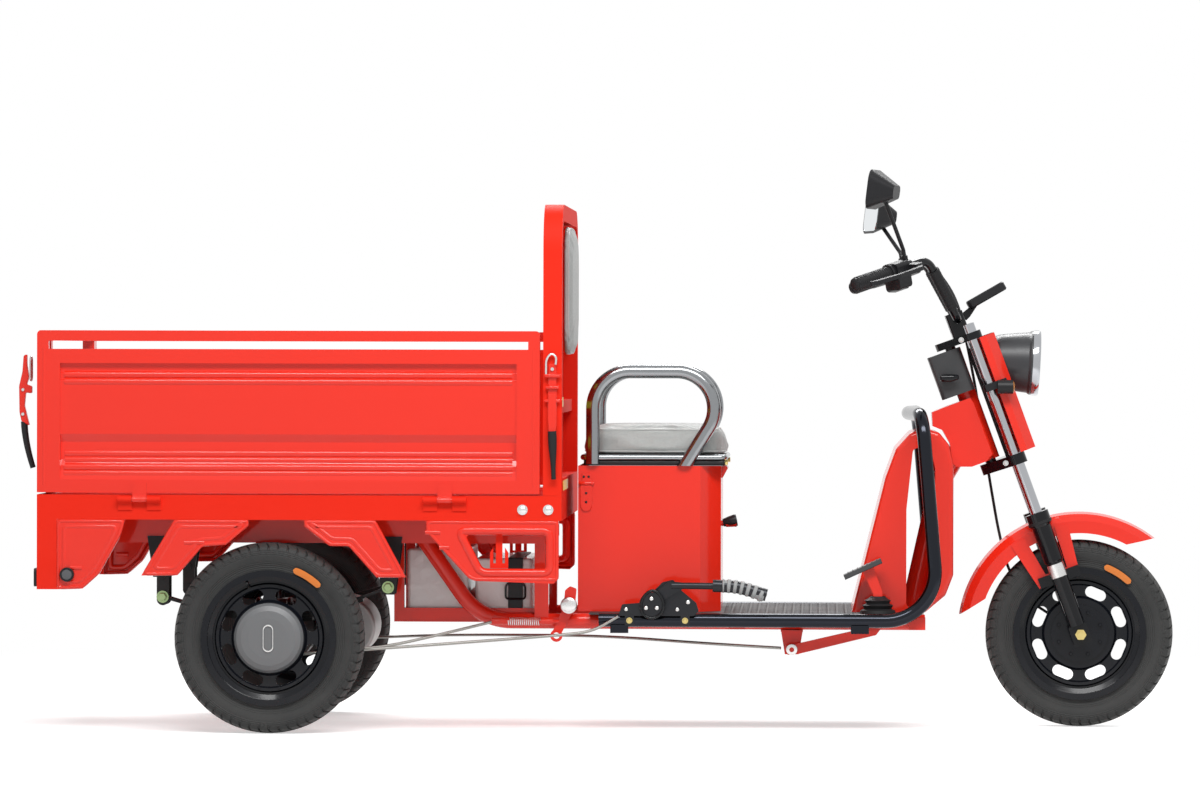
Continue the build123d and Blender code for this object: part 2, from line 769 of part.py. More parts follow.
# ---------------------------------------------------------------- floor frame, batteries
tube_z = floor_top_z - floor_sheet - rest_gap - floor_tube_radius
tube_y = floor_tube_spacing / 2
tube_inner_y = tube_y - floor_tube_radius
tray_rear_x = motor_x + motor_radius + tray_clearance
tray_front_x = bed_front_x - 76.5
outrigger_y = loop_spacing / 2 - loop_radius - rest_gap
side_tube = bent_tube(
    [(-516, tube_y, 575), (-298, tube_y, tube_z), (floor_front_x, tube_y, tube_z)], [150], floor_tube_radius
)
with BuildPart() as floor_frame:
    add(side_tube)
    split(bisect_by=Plane.XY.offset(rail_bottom_z - rest_gap), keep=Keep.BOTTOM)
    mirror(about=Plane.XZ)
    # cross members of the foot well, with ends that carry the bent side rail
    with BuildSketch(Plane.XY.offset(tube_z - 15)):
        for x, half in ((12, tube_y), (330, outrigger_y), (floor_front_x - 20, outrigger_y), (45, outrigger_y)):
            with Locations((x, 0)):
                Rectangle(40, 2 * half)
    extrude(amount=30)
    # upright posts to the bed
    with BuildSketch(Plane.XY.offset(tube_z)):
        with GridLocations(1, floor_tube_spacing, 1, 2):
            with Locations((-148, 0)):
                Rectangle(34, 34)
    extrude(amount=rail_bottom_z - rest_gap - tube_z)
    # battery tray hung between the side tubes and two rear posts
    with BuildSketch(Plane.XY.offset(tube_z - 4)):
        with Locations(((tray_rear_x - 100) / 2, 0)):
            Rectangle(-100 - tray_rear_x, 2 * tube_inner_y + 4)
    extrude(amount=3)
    with BuildSketch(Plane.XY.offset(tube_z - 4)):
        with Locations(((tray_rear_x + tray_front_x) / 2, 0)):
            Rectangle(tray_front_x - tray_rear_x, 2 * tube_inner_y)
            Rectangle(tray_front_x - tray_rear_x - 6, 2 * tube_inner_y - 6, mode=Mode.SUBTRACT)
    extrude(amount=34)
    with BuildSketch(Plane.XY.offset(tube_z - 4)):
        with GridLocations(1, 2 * tube_inner_y - 24, 1, 2):
            with Locations((tray_rear_x - 12, 0)):
                Rectangle(24, 24)
    extrude(amount=rail_bottom_z - rest_gap - tube_z + 4)
finish(floor_frame, "floor_frame")

battery_floor_z = tube_z - 1 + rest_gap
battery_width = 2 * tube_inner_y - 20
controller_length = 0.468 * (tray_front_x - tray_rear_x)
battery_length = 0.456 * (tray_front_x - tray_rear_x)
battery_x = tray_front_x - 3.5 - battery_length / 2
with BuildPart() as controller_box:
    with BuildSketch(Plane.XY.offset(battery_floor_z)):
        with Locations((tray_rear_x + 7 + controller_length / 2, 0)):
            RectangleRounded(controller_length, battery_width, 10)
    extrude(amount=176)
    fillet(controller_box.faces().sort_by(Axis.Z)[-1].edges(), radius=8)
finish(controller_box, "controller_box")

with BuildPart() as battery:
    with BuildSketch(Plane.XY.offset(battery_floor_z)):
        with Locations((battery_x, 0)):
            Rectangle(battery_length, battery_width)
    extrude(amount=34)
    with BuildSketch(Plane.XY.offset(battery_floor_z + 34)):
        with Locations((battery_x, 0)):
            RectangleRounded(battery_length - 6, battery_width - 6, 8)
    extrude(amount=118)
    fillet(battery.faces().sort_by(Axis.Z)[-1].edges(), radius=6)
finish(battery, "battery")

pedal_y = -250.0
with BuildPart() as floor_plate:
    with BuildSketch(Plane.XY.offset(floor_top_z - floor_sheet)):
        with Locations(((floor_front_x - 50) / 2, 0)):
            Rectangle(floor_front_x + 10, 2 * outrigger_y)
        with Locations((672, pedal_y)):
            Circle(20, mode=Mode.SUBTRACT)
    extrude(amount=floor_sheet)
finish(floor_plate, "floor_plate")

loop_y = loop_spacing / 2
loop_low_x = 820.0
loop_high_x = 778.0
with BuildPart() as leg_loop:
    add(
        bent_tube(
            [
                (-5, -loop_y, loop_bottom_z), (loop_low_x, -loop_y, loop_bottom_z),
                (loop_high_x, -loop_y, loop_top_z), (loop_high_x - 32, 0, loop_top_z + 1),
                (loop_high_x, loop_y, loop_top_z), (loop_low_x, loop_y, loop_bottom_z),
                (-5, loop_y, loop_bottom_z),
            ],
            [120, 70, 600, 70, 120], loop_radius,
        )
    )
    for x in (45, 628):
        with BuildSketch(Plane.XY.offset(loop_bottom_z - loop_radius - 14)):
            with GridLocations(1, loop_spacing, 1, 2):
                with Locations((x, 0)):
                    RectangleRounded(44, 30, 4)
        extrude(amount=20)
finish(leg_loop, "leg_loop")

# ---------------------------------------------------------------- leg shield, neck and lock
shield_low_z = floor_top_z + rest_gap
shield_front_x = 857.0
down_tube_radius = 25.0
down_tube_points = [(892, 0, 712), (826, 0, 600), (758, 0, floor_top_z + 6)]
with BuildPart() as leg_shield:
    shield_face = Plane(origin=(0, shield_width / 2, 0), x_dir=(1, 0, 0), z_dir=(0, -1, 0))
    with BuildSketch(shield_face):
        with BuildLine():
            Polyline(
                (609, shield_low_z), (690, 617), (716, 688), (752, 728), (787, 738), (822, 728), (846, 698),
                (shield_front_x, 650), (shield_front_x, 380), (838, 330), (789, shield_low_z), close=True,
            )
        outline = make_face()
        fillet(outline.vertices().group_by(Axis.Y)[1:], radius=16)
    extrude(amount=shield_width)
    fillet(leg_shield.edges().filter_by(Axis.Y, reverse=True).group_by(Axis.X)[-1], radius=12)
    offset(amount=-shield_sheet, openings=leg_shield.faces().sort_by(Axis.Z)[0])
    with BuildSketch(shield_face.offset(-10)):
        with BuildLine():
            Polyline(
                (742, 300), (800, 300), (812, 360), (812, 640), (800, 690), (758, 690),
                (742, 540), close=True,
            )
        slot = make_face()
        fillet(slot.vertices(), radius=12)
    extrude(amount=shield_width + 20, mode=Mode.SUBTRACT)
    add(bent_tube(down_tube_points, [70], down_tube_radius + rest_gap), mode=Mode.SUBTRACT)
finish(leg_shield, "leg_shield")

neck_half_width = 50.0
head_tube_radius = 24.0
head_low_t = lower_yoke_t + yoke_thickness + swing_gap + 1
head_high_t = upper_yoke_t - swing_gap - 1
with BuildPart() as neck:
    with BuildSketch(Plane(origin=(0, neck_half_width, 0), x_dir=(1, 0, 0), z_dir=(0, -1, 0))):
        with BuildLine():
            Polyline(
                (shield_front_x - 17, 790), (shield_front_x + 43, 812), (shield_front_x + 61, 786),
                (shield_front_x + 103, 672), (shield_front_x + 91, 658), (shield_front_x + 48, 642),
                (shield_front_x + 9, 642), (shield_front_x + 1, 652), (shield_front_x - 7, 700),
                (shield_front_x - 25, 732), (shield_front_x - 49, 742),
                (shield_front_x - 51, 776), close=True,
            )
        body = make_face()
        fillet(body.vertices().group_by(Axis.X)[-1], radius=6)
    extrude(amount=2 * neck_half_width)
    chamfer(neck.edges().filter_by(Axis.Y, reverse=True).group_by(Axis.X)[-1], length=4)
    with BuildSketch(fork.offset(head_low_t)):
        with Locations((-steer_offset, 0)):
            Circle(head_tube_radius)
    extrude(amount=head_high_t - head_low_t)
    # down tube through the shield to the floor, with its foot plate
    add(bent_tube(down_tube_points, [70], down_tube_radius))
    with BuildSketch(Plane.XY.offset(floor_top_z + rest_gap)):
        with Locations((down_tube_points[-1][0] - 12, 0)):
            RectangleRounded(76, 110, 8)
    extrude(amount=6)
    with BuildSketch(fork):
        with Locations((-steer_offset, 0)):
            Circle(stem_radius + running_fit)
    extrude(amount=1000, mode=Mode.SUBTRACT)
finish(neck, "neck")

lock_back = -122.0
lock_front = -38.0
lock_low_t = 656.0
with BuildPart() as lock_box:
    with BuildSketch(fork.offset(lock_low_t)):
        with Locations(((lock_back + lock_front) / 2, 0)):
            RectangleRounded(lock_front - lock_back, 92, 12)
        with Locations((-steer_offset, 0)):
            Circle(head_tube_radius + rest_gap, mode=Mode.SUBTRACT)
    extrude(amount=head_high_t - lock_low_t)
    with BuildSketch(Plane(origin=fork_point(-92, -46, 700), z_dir=(0, -1, 0), x_dir=fork.z_dir)):
        Circle(9)
    extrude(amount=12)
    with BuildSketch(Plane(origin=fork_point(-92, -58, 700), z_dir=(0, -1, 0), x_dir=fork.z_dir)):
        SlotOverall(34, 12, rotation=70)
    extrude(amount=6)
finish(lock_box, "lock_box")

# ---------------------------------------------------------------- seat box and seat
seat_hinge = (seat_box_front_x + 9, seat_box_top_z - 8)
seat_low_z = seat_box_top_z + rest_gap
seat_frame_height = 27.0
with BuildPart() as seat_box:
    with BuildSketch(Plane.XY.offset(floor_top_z + rest_gap)):
        with Locations(((seat_box_rear_x + seat_box_front_x) / 2, 0)):
            outline = Rectangle(seat_box_front_x - seat_box_rear_x, seat_box_width)
        chamfer(outline.vertices().group_by(Axis.X)[-1], length=seat_box_chamfer)
    extrude(amount=seat_box_top_z - floor_top_z - rest_gap)
    offset(amount=-sheet, openings=seat_box.faces().sort_by(Axis.Z)[-1])
    # hinge knuckles for the seat, with their pin
    for side in (1, -1):
        knuckle_start = (seat_hinge[0], side * 58 + 12, seat_hinge[1])
        work_face = Plane(origin=knuckle_start, x_dir=(1, 0, 0), z_dir=(0, -1, 0))
        with BuildSketch(work_face):
            Circle(6)
            with BuildLine():
                Polyline((-9, 4), (0, 6), (6, 0), (-7, -24), (-9, -24), close=True)
            make_face()
        extrude(amount=24)
    add(along_y(seat_hinge[0], seat_hinge[1], 3, -70, 70))
    # lock knob on the front
    with BuildSketch(Plane(origin=(seat_box_front_x, -60, 501), x_dir=(0, 1, 0), z_dir=(1, 0, 0))):
        Circle(7)
    extrude(amount=10)
    with BuildSketch(Plane(origin=(seat_box_front_x + 10, -60, 501), x_dir=(0, 1, 0), z_dir=(1, 0, 0.18))):
        Circle(10)
    extrude(amount=26, taper=-8)
finish(seat_box, "seat_box")

armrest_y = armrest_spacing / 2
frame_top_z = seat_low_z + seat_frame_height
with BuildPart() as seat_frame:
    with BuildSketch(Plane.XY.offset(seat_low_z)):
        with Locations((125, 0)):
            RectangleRounded(346, armrest_spacing, 14)
            RectangleRounded(346 - 50, armrest_spacing - 50, 8, mode=Mode.SUBTRACT)
    extrude(amount=seat_frame_height)
    for side in (1, -1):
        arm = bent_tube(
            [
                (-25, side * armrest_y, seat_low_z + 4), (-25, side * armrest_y, armrest_top_z),
                (armrest_reach, side * armrest_y, armrest_top_z), (195, side * armrest_y, seat_low_z - 8),
            ],
            [armrest_bend, armrest_bend], armrest_radius,
        )
        add(arm)
    split(bisect_by=Plane.XY.offset(seat_low_z), keep=Keep.TOP)
    with BuildSketch(Plane(origin=(seat_hinge[0], 45, seat_hinge[1]), x_dir=(1, 0, 0), z_dir=(0, -1, 0))):
        Circle(6)
        Circle(3 + running_fit, mode=Mode.SUBTRACT)
    extrude(amount=90)
    with BuildSketch(Plane(origin=(seat_hinge[0], 45, seat_hinge[1]), x_dir=(1, 0, 0), z_dir=(0, -1, 0))):
        with BuildLine():
            Polyline((-4, 4.5), (3, 5), (1, 14), (-6, 14), close=True)
        make_face()
    extrude(amount=90)
finish(seat_frame, "seat_frame")

with BuildPart() as seat_cushion:
    with BuildSketch(Plane.XY.offset(frame_top_z + rest_gap)):
        with Locations((125, 0)):
            RectangleRounded(354, armrest_spacing - 2 * armrest_radius - 4, 30)
    extrude(amount=seat_cushion_height)
    fillet(seat_cushion.faces().sort_by(Axis.Z)[-1].edges(), radius=18)
finish(seat_cushion, "seat_cushion")

# ---------------------------------------------------------------- controls beside the floor
brake_y = -loop_y - loop_radius - rest_gap
with BuildPart() as hand_brake:
    with BuildSketch(Plane(origin=(0, brake_y, 0), x_dir=(1, 0, 0), z_dir=(0, -1, 0))):
        with BuildLine():
            Polyline(
                (43, 284), (110, 284), (225, 284), (238, 296), (232, 316), (196, 346),
                (176, 372), (150, 366),
                (100, 316), (52, 312), close=True,
            )
        plate = make_face()
        fillet(plate.vertices(), radius=5)
    extrude(amount=4)
    with BuildSketch(Plane(origin=(124, brake_y - 4, 312), x_dir=(1, 0, 0), z_dir=(0, -1, 0))):
        Circle(30)
    extrude(amount=16)
    with BuildSketch(Plane(origin=(124, brake_y - 20, 312), x_dir=(1, 0, 0), z_dir=(0, -1, 0))):
        with PolarLocations(15, 3, start_angle=90):
            Circle(5)
    extrude(amount=4)
    with BuildSketch(Plane(origin=(0, brake_y - 4, 0), x_dir=(1, 0, 0), z_dir=(0, -1, 0))):
        with BuildLine():
            Polyline((118, 330), (150, 322), (200, 350), (196, 366), (166, 368), close=True)
        make_face()
    extrude(amount=12)
    add(straight_bar((172, brake_y - 12, 358), (300, brake_y - 12, 357), 8))
    add(bent_tube([(272, brake_y - 12, 358), (330, brake_y - 12, 356), (402, brake_y - 12, 336)], [120], 15))
    # clamp to the floor rail
    for x in (70, 205):
        with BuildSketch(Plane(origin=(x, brake_y, loop_bottom_z), x_dir=(1, 0, 0), z_dir=(0, -1, 0))):
            Rectangle(22, 24)
        extrude(amount=5)
finish(hand_brake, "hand_brake")

with BuildPart() as brake_pedal:
    with BuildSketch(Plane(origin=(0, pedal_y + 5, 0), x_dir=(1, 0, 0), z_dir=(0, -1, 0))):
        with BuildLine():
            Polyline(
                (632, 397), (658, 409), (683, 342), (683, 256), (668, 236), (482, 190),
                (452, 186), (448, 210),
                (474, 214), (661, 257), (661, 336), close=True,
            )
        arm = make_face()
        fillet(arm.vertices(), radius=5)
    extrude(amount=14)
    with BuildSketch(Plane(origin=(0, pedal_y + 30, 0), x_dir=(1, 0, 0), z_dir=(0, -1, 0))):
        with BuildLine():
            Polyline((594, 374), (680, 413), (677, 420), (591, 381), close=True)
        make_face()
    extrude(amount=60)
    # bracket under the floor that carries the pivot
    bracket_top = tube_z - floor_tube_radius - rest_gap
    with BuildSketch(Plane(origin=(0, -tube_y + 14, 0), x_dir=(1, 0, 0), z_dir=(0, -1, 0))):
        with BuildLine():
            Polyline((436, bracket_top), (490, bracket_top), (480, 186), (446, 186), close=True)
        make_face()
    extrude(amount=4)
    with BuildSketch(Plane.XY.offset(bracket_top - 4)):
        with Locations((463, -tube_y)):
            Rectangle(54, 2 * 14)
    extrude(amount=4)
    add(along_y(463, 200, 9, pedal_y - 13, -tube_y + 14))
finish(brake_pedal, "brake_pedal")

with BuildPart() as pedal_boot:
    work_face = Plane(origin=(672, pedal_y, floor_top_z + rest_gap), x_dir=(1, 0, 0), z_dir=(0, -1, 0))
    with BuildSketch(work_face):
        with BuildLine():
            Polyline(
                (18, 0), (44, 0), (42, 8), (33, 12), (38, 20), (28, 25), (32, 32), (22, 38),
                (18, 42), (15.5, 42),
                (15.5, 30), close=True,
            )
        make_face()
    revolve(axis=Axis((672, pedal_y, 0), (0, 0, 1)))
finish(pedal_boot, "pedal_boot")

lever_y = -tube_y - floor_tube_radius - rest_gap
ring_spot = (-111.0, 231.0)
ring_hole = 8.0
with BuildPart() as park_lever:
    with BuildSketch(Plane(origin=(0, lever_y, 0), x_dir=(1, 0, 0), z_dir=(0, -1, 0))):
        with BuildLine():
            Polyline(
                (-94, 300), (-90, 342), (-78, 352), (-62, 346), (-66, 300), (-98, 238),
                (-122, 238), close=True,
            )
        arm = make_face()
        fillet(arm.vertices().group_by(Axis.Y)[-3:], radius=6)
        with Locations(ring_spot):
            Circle(15)
            Circle(ring_hole, mode=Mode.SUBTRACT)
    extrude(amount=8)
    with BuildSketch(Plane(origin=(-80, lever_y - 8, 306), x_dir=(1, 0, 0), z_dir=(0, -1, 0))):
        Circle(19)
    extrude(amount=18)
    # return spring on its rod, with end sleeves
    rod_y = lever_y - 12
    add(straight_bar((-268, rod_y, 266), (-104, rod_y, 266), 3.5))
    add(straight_bar((-268, rod_y, 266), (-229, rod_y, 266), 9))
    add(straight_bar((-149, rod_y, 266), (-118, rod_y, 266), 9))
    add(straight_bar((-229, rod_y, 266), (-149, rod_y, 266), 7.5))
    with BuildSketch(Plane(origin=(-262, lever_y, 266), x_dir=(1, 0, 0), z_dir=(0, -1, 0))):
        Rectangle(12, 18)
    extrude(amount=14)
finish(park_lever, "park_lever")

# cables and rods: straight spans between their ends, bent as gently as the spans allow
cable_routes = [
    [(-733.9, -339, 188), (-420, -342, 211), (-110, -344, 236), (-20, -346, 246), (43, -345, 283)],
    [(-752, -333.2, 187), (-520, -290, 205), (-400, -270, 232), (-269, -256.5, 264)],
    [(-733.9, 339, 188), (-430, 300, 204), (-20, 60, 216), (260, -190, 210), (436, -246, 203)],
]
with BuildPart() as brake_cables:
    for route in cable_routes:
        add(bent_tube(route, easy_radii(route), 3.5))
finish(brake_cables, "brake_cables")

# ---------------------------------------------------------------- fork
with BuildPart() as fork_yokes:
    for level, thick, lug in ((lower_yoke_t, yoke_thickness, 30), (upper_yoke_t, top_yoke_thickness, 34)):
        with BuildSketch(fork.offset(level)):
            with GridLocations(1, fork_spacing, 1, 2):
                Circle(stanchion_radius + 9)
            with Locations((-steer_offset, 0)):
                Circle(lug)
            make_hull()
            with GridLocations(1, fork_spacing, 1, 2):
                Circle(stanchion_radius + rest_gap, mode=Mode.SUBTRACT)
        extrude(amount=thick)
    # steering stem between the yokes
    with BuildSketch(fork.offset(lower_yoke_t)):
        with Locations((-steer_offset, 0)):
            Circle(stem_radius)
    extrude(amount=upper_yoke_t - lower_yoke_t)
    # handlebar riser with its clamp
    with BuildSketch(fork.offset(upper_yoke_t + top_yoke_thickness)):
        with Locations((-24, 0)):
            RectangleRounded(44, 96, 10)
    extrude(amount=60)
    with BuildSketch(fork.offset(upper_yoke_t + top_yoke_thickness + 14)):
        with Locations((-24, 0)):
            Rectangle(60, 30)
    extrude(amount=60, mode=Mode.SUBTRACT)
    with BuildSketch(Plane(origin=(868, 60, 1006), x_dir=(1, 0, 0), z_dir=(0, -1, 0))):
        Circle(bar_radius + rest_gap)
    extrude(amount=120, mode=Mode.SUBTRACT)
finish(fork_yokes, "fork_yokes")

stanchion_low_t = 318.0
stanchion_high_t = 812.0
with BuildPart() as fork_stanchions:
    with BuildSketch(fork.offset(stanchion_low_t + rest_gap)):
        with GridLocations(1, fork_spacing, 1, 2):
            Circle(stanchion_radius)
    extrude(amount=stanchion_high_t - stanchion_low_t - rest_gap)
finish(fork_stanchions, "fork_stanchions")

with BuildPart() as fork_sliders:
    for side in (1, -1):
        with BuildSketch(Plane(origin=fork_point(0, side * leg_y, 0), x_dir=fork.x_dir, z_dir=(0, -1, 0))):
            with BuildLine():
                Polyline(
                    (0, 24), (20, 24), (20, 188), (24, 192), (24, 282), (29, 288), (29, stanchion_low_t),
                    (0, stanchion_low_t), close=True,
                )
            make_face()
        revolve(axis=Axis(fork_point(0, side * leg_y, 0), fork.z_dir))
        work_face = Plane(origin=fork_point(0, side * leg_y, 0), x_dir=fork.x_dir, z_dir=(0, -side, 0))
        with BuildSketch(work_face):
            block = Rectangle(46, 52)
            fillet(block.vertices(), radius=6)
            Circle(front_spindle_radius + rest_gap, mode=Mode.SUBTRACT)
        extrude(amount=9, both=True)
        # lugs that carry the mudguard
        lug_spot = fork_point(0, side * (leg_y - 14), 150)
        work_face = Plane(origin=lug_spot, x_dir=fork.x_dir, z_dir=(0, -side, 0))
        with BuildSketch(work_face):
            Rectangle(104, 26)
        extrude(amount=leg_y - 14 - mudguard_width / 2 - 4.7 - rest_gap)
finish(fork_sliders, "fork_sliders")

with BuildPart() as front_axle:
    nut_y = leg_y + 9 + rest_gap
    spacer_y = leg_y - 9 - rest_gap
    with BuildSketch(axle_plane(front_axle_x, 0)):
        with BuildLine():
            Polyline(
                (-nut_y - 22, 0), (-nut_y - 22, front_spindle_radius), (-spacer_y, front_spindle_radius),
                (-spacer_y, 13), (-41, 13), (-41, front_spindle_radius),
                (31, front_spindle_radius), (31, 68),
                (39, 68), (39, 20), (spacer_y, 20), (spacer_y, front_spindle_radius),
                (nut_y + 22, front_spindle_radius), (nut_y + 22, 0), close=True,
            )
        make_face()
    revolve(axis=axle_axis(front_axle_x))
    for side in (1, -1):
        work_face = Plane(origin=(front_axle_x, side * nut_y, axle_z), x_dir=(1, 0, 0), z_dir=(0, side, 0))
        with BuildSketch(work_face):
            RegularPolygon(14, 6)
        extrude(amount=12)
    # brake arm on the left plate
    with BuildSketch(Plane(origin=(front_axle_x, 62, axle_z), x_dir=(1, 0, 0), z_dir=(0, -1, 0))):
        with BuildLine():
            Polyline((-10, -20), (-62, 34), (-52, 44), (14, -6), close=True)
        make_face()
    extrude(amount=6)
finish(front_axle, "front_axle")

# ---------------------------------------------------------------- mudguard and front panel
guard_rear_angle = 172.0
guard_front_angle = 51.0
guard_half = mudguard_width / 2


def guard_spot(ahead, up):
    """Place beside the front wheel, ahead of and above its axle, in parts of the mudguard's radius."""
    return front_axle_x + ahead * mudguard_radius, axle_z + up * mudguard_radius


with BuildPart() as mudguard:
    start = Plane(
        origin=(front_axle_x, 0, axle_z), x_dir=(0, 1, 0),
        z_dir=(sin(radians(guard_front_angle)), 0, -cos(radians(guard_front_angle))),
    )
    with BuildSketch(start):
        with BuildLine():
            outer = Polyline(
                (-guard_half, mudguard_radius - 52), (-guard_half, mudguard_radius - 22),
                (-guard_half + 16, mudguard_radius - 5), (0, mudguard_radius),
                (guard_half - 16, mudguard_radius - 5), (guard_half, mudguard_radius - 22),
                (guard_half, mudguard_radius - 52),
            )
            offset(amount=-mudguard_sheet, side=Side.RIGHT)
        make_face()
    revolve(axis=axle_axis(front_axle_x), revolution_arc=-(guard_rear_angle - guard_front_angle))
    # pointed ends
    with BuildSketch(Plane(origin=(0, guard_half + 1, 0), x_dir=(1, 0, 0), z_dir=(0, -1, 0))):
        with BuildLine():
            Polyline(
                guard_spot(0.645, 0.783), guard_spot(0.6, 0.783), guard_spot(0.333, 0.723),
                guard_spot(0.287, 0.563), guard_spot(0.645, 0.563), close=True,
            )
        make_face()
        with BuildLine():
            Polyline(
                guard_spot(-1.013, 0.137), guard_spot(-0.987, 0.15), guard_spot(-0.747, 0.303),
                guard_spot(-0.573, 0.063), guard_spot(-1.013, 0.063), close=True,
            )
        make_face()
    extrude(amount=2 * guard_half + 2, mode=Mode.SUBTRACT)
    # stays down to the fork legs
    for side in (1, -1):
        work_face = Plane(origin=fork_point(0, side * guard_half, 0), x_dir=fork.x_dir, z_dir=(0, -1, 0))
        with BuildSketch(work_face):
            with BuildLine():
                Polyline(
                    (-86, mudguard_radius - 38), (-48, mudguard_radius - 32), (-30, 166), (26, 166),
                    (30, mudguard_radius - 30), (64, mudguard_radius - 34), (50, 138),
                    (-56, 138), close=True,
                )
            make_face()
        extrude(amount=-side * 4.7)
finish(mudguard, "mudguard")

# front panel between the fork legs, folded back along both long edges
panel_low_t = lower_yoke_t + yoke_thickness + rest_gap
panel_high_t = upper_yoke_t - rest_gap
panel_front = 53.0
panel_half = leg_y + stanchion_radius + 3
with BuildPart() as front_panel:
    with BuildSketch(fork.offset(panel_low_t)):
        with BuildLine():
            Polyline(
                (stanchion_radius + rest_gap, panel_half), (panel_front - 22, panel_half),
                (panel_front, panel_half - 24),
                (panel_front, -panel_half + 24), (panel_front - 22, -panel_half),
                (stanchion_radius + rest_gap, -panel_half),
            )
            offset(amount=-sheet, side=Side.RIGHT)
        make_face()
    extrude(amount=panel_high_t - panel_low_t)
    # brackets to the legs
    for level in (520, 720):
        with BuildSketch(fork.offset(level)):
            stalk_x = stanchion_radius + 9 + rest_gap
            with Locations((stalk_x, leg_y), (stalk_x, -leg_y)):
                Rectangle(18, 2 * stanchion_radius)
        extrude(amount=24)
finish(front_panel, "front_panel")

lamp_radius = 78.0
lamp_front_x = 1064.0
lamp_z = 898.0
lamp_aim = (cos(radians(3)), 0, -sin(radians(3)))
lamp_plane = Plane(origin=(lamp_front_x, 0, lamp_z), x_dir=(0, 1, 0), z_dir=lamp_aim)
with BuildPart() as headlight:
    with BuildSketch(Plane(origin=lamp_plane.origin, x_dir=lamp_plane.z_dir, z_dir=(0, -1, 0))):
        with BuildLine():
            Polyline(
                (0, 0), (0, lamp_radius), (-14, lamp_radius + 1), (-20, lamp_radius - 3),
                (-51, lamp_radius - 6),
                (-92, lamp_radius - 12), (-112, lamp_radius - 20), (-128, lamp_radius - 40),
                (-128, 0), close=True,
            )
        make_face()
    revolve(axis=Axis(lamp_plane.origin, lamp_plane.z_dir))
    work_face = Plane(origin=fork_point(panel_front + rest_gap, 0, 0), x_dir=(0, 1, 0), z_dir=-fork.x_dir)
    with BuildSketch(work_face):
        with Locations((0, -700)):
            Rectangle(600, 900)
    extrude(amount=200, mode=Mode.SUBTRACT)
finish(headlight, "headlight")

with BuildPart() as headlight_lens:
    with BuildSketch(Plane(origin=lamp_plane.origin, x_dir=lamp_plane.z_dir, z_dir=(0, -1, 0))):
        with BuildLine():
            edge = Line((rest_gap, 0), (rest_gap, lamp_radius - 4))
            TangentArc((12, 0), edge @ 1, tangent=(0, 1))
            Line((12, 0), (rest_gap, 0))
        make_face()
    revolve(axis=Axis(lamp_plane.origin, lamp_plane.z_dir))
finish(headlight_lens, "headlight_lens")

indicator_radius = 17.0
indicator_y = 118.0
clamp_t = 648.0
with BuildPart() as indicators:
    for side in (1, -1):
        with BuildSketch(fork.offset(clamp_t - 9)):
            with Locations((0, side * leg_y)):
                Circle(stanchion_radius + 5)
            with Locations((-2, side * (leg_y + 16))):
                Rectangle(24, 26)
            with Locations((17, side * (leg_y + 23.8))):
                Rectangle(50, 11)
            with Locations((0, side * leg_y)):
                Circle(stanchion_radius + rest_gap, mode=Mode.SUBTRACT)
        extrude(amount=18)
        spot = fork_point(0, side * indicator_y, clamp_t)
        with BuildSketch(Plane(origin=(spot.X + 16, spot.Y, spot.Z), x_dir=(0, 1, 0), z_dir=(1, 0, 0))):
            Circle(indicator_radius)
        extrude(amount=36)
finish(indicators, "indicators")

# ---------------------------------------------------------------- handlebar and what it carries
grip_end = Vector(616, -bar_half_width, 1088)
grip_root = Vector(792, -166, 1150)
bar_middle = Vector(868, -70, 1006)
half_bar = [grip_end, grip_root, bar_middle]
other_half = [Vector(p.X, -p.Y, p.Z) for p in reversed(half_bar)]
with BuildPart() as handlebar:
    add(bent_tube(half_bar + other_half, [44, 34, 34, 44], bar_radius))
finish(handlebar, "handlebar")

# right-hand grip frame: z runs inward along the bar, x stands up, y points forward of the grip
grip_line = (grip_root - grip_end).normalized()
grip_up = (Vector(0, 0, 1) - grip_line * grip_line.Z).normalized()
grip = Plane(origin=grip_end, x_dir=grip_up, z_dir=grip_line)
grip_length = 128.0
lever_reach = 50.0
with BuildPart() as hand_controls:
    with BuildSketch(grip.offset(-3)):
        Circle(16)
    extrude(amount=3 + grip_length)
    with BuildSketch(grip.offset(grip_length - 6)):
        Circle(20)
    extrude(amount=6)
    # switch housing
    with BuildSketch(grip.offset(grip_length)):
        with Locations((-12, 4)):
            RectangleRounded(66, 40, 10)
    extrude(amount=44)
    # lever perch
    with BuildSketch(grip.offset(grip_length + 44)):
        Circle(17)
        with Locations((0, 26)):
            RectangleRounded(20, 46, 6)
    extrude(amount=24)
    # brake lever, reaching back over the switch housing and the grip
    with BuildSketch(Plane(origin=grip.origin - grip.x_dir * 5, x_dir=grip.z_dir, z_dir=grip.x_dir)):
        with BuildLine():
            blade = Polyline(
                (grip_length + 62, -lever_reach + 16), (grip_length + 40, -lever_reach - 4),
                (90, -lever_reach - 8),
                (16, -lever_reach + 4), (8, -lever_reach + 10), (4, -lever_reach + 2),
                (14, -lever_reach - 8),
                (88, -lever_reach - 20), (grip_length + 44, -lever_reach - 16),
                (grip_length + 66, -lever_reach + 4),
                close=True,
            )
        outline = make_face()
        fillet(outline.vertices(), radius=3)
    extrude(amount=10)
    with BuildSketch(grip.offset(0)):
        Circle(bar_radius + rest_gap)
    extrude(amount=300, mode=Mode.SUBTRACT)
    mirror(about=Plane.XZ)
finish(hand_controls, "hand_controls")

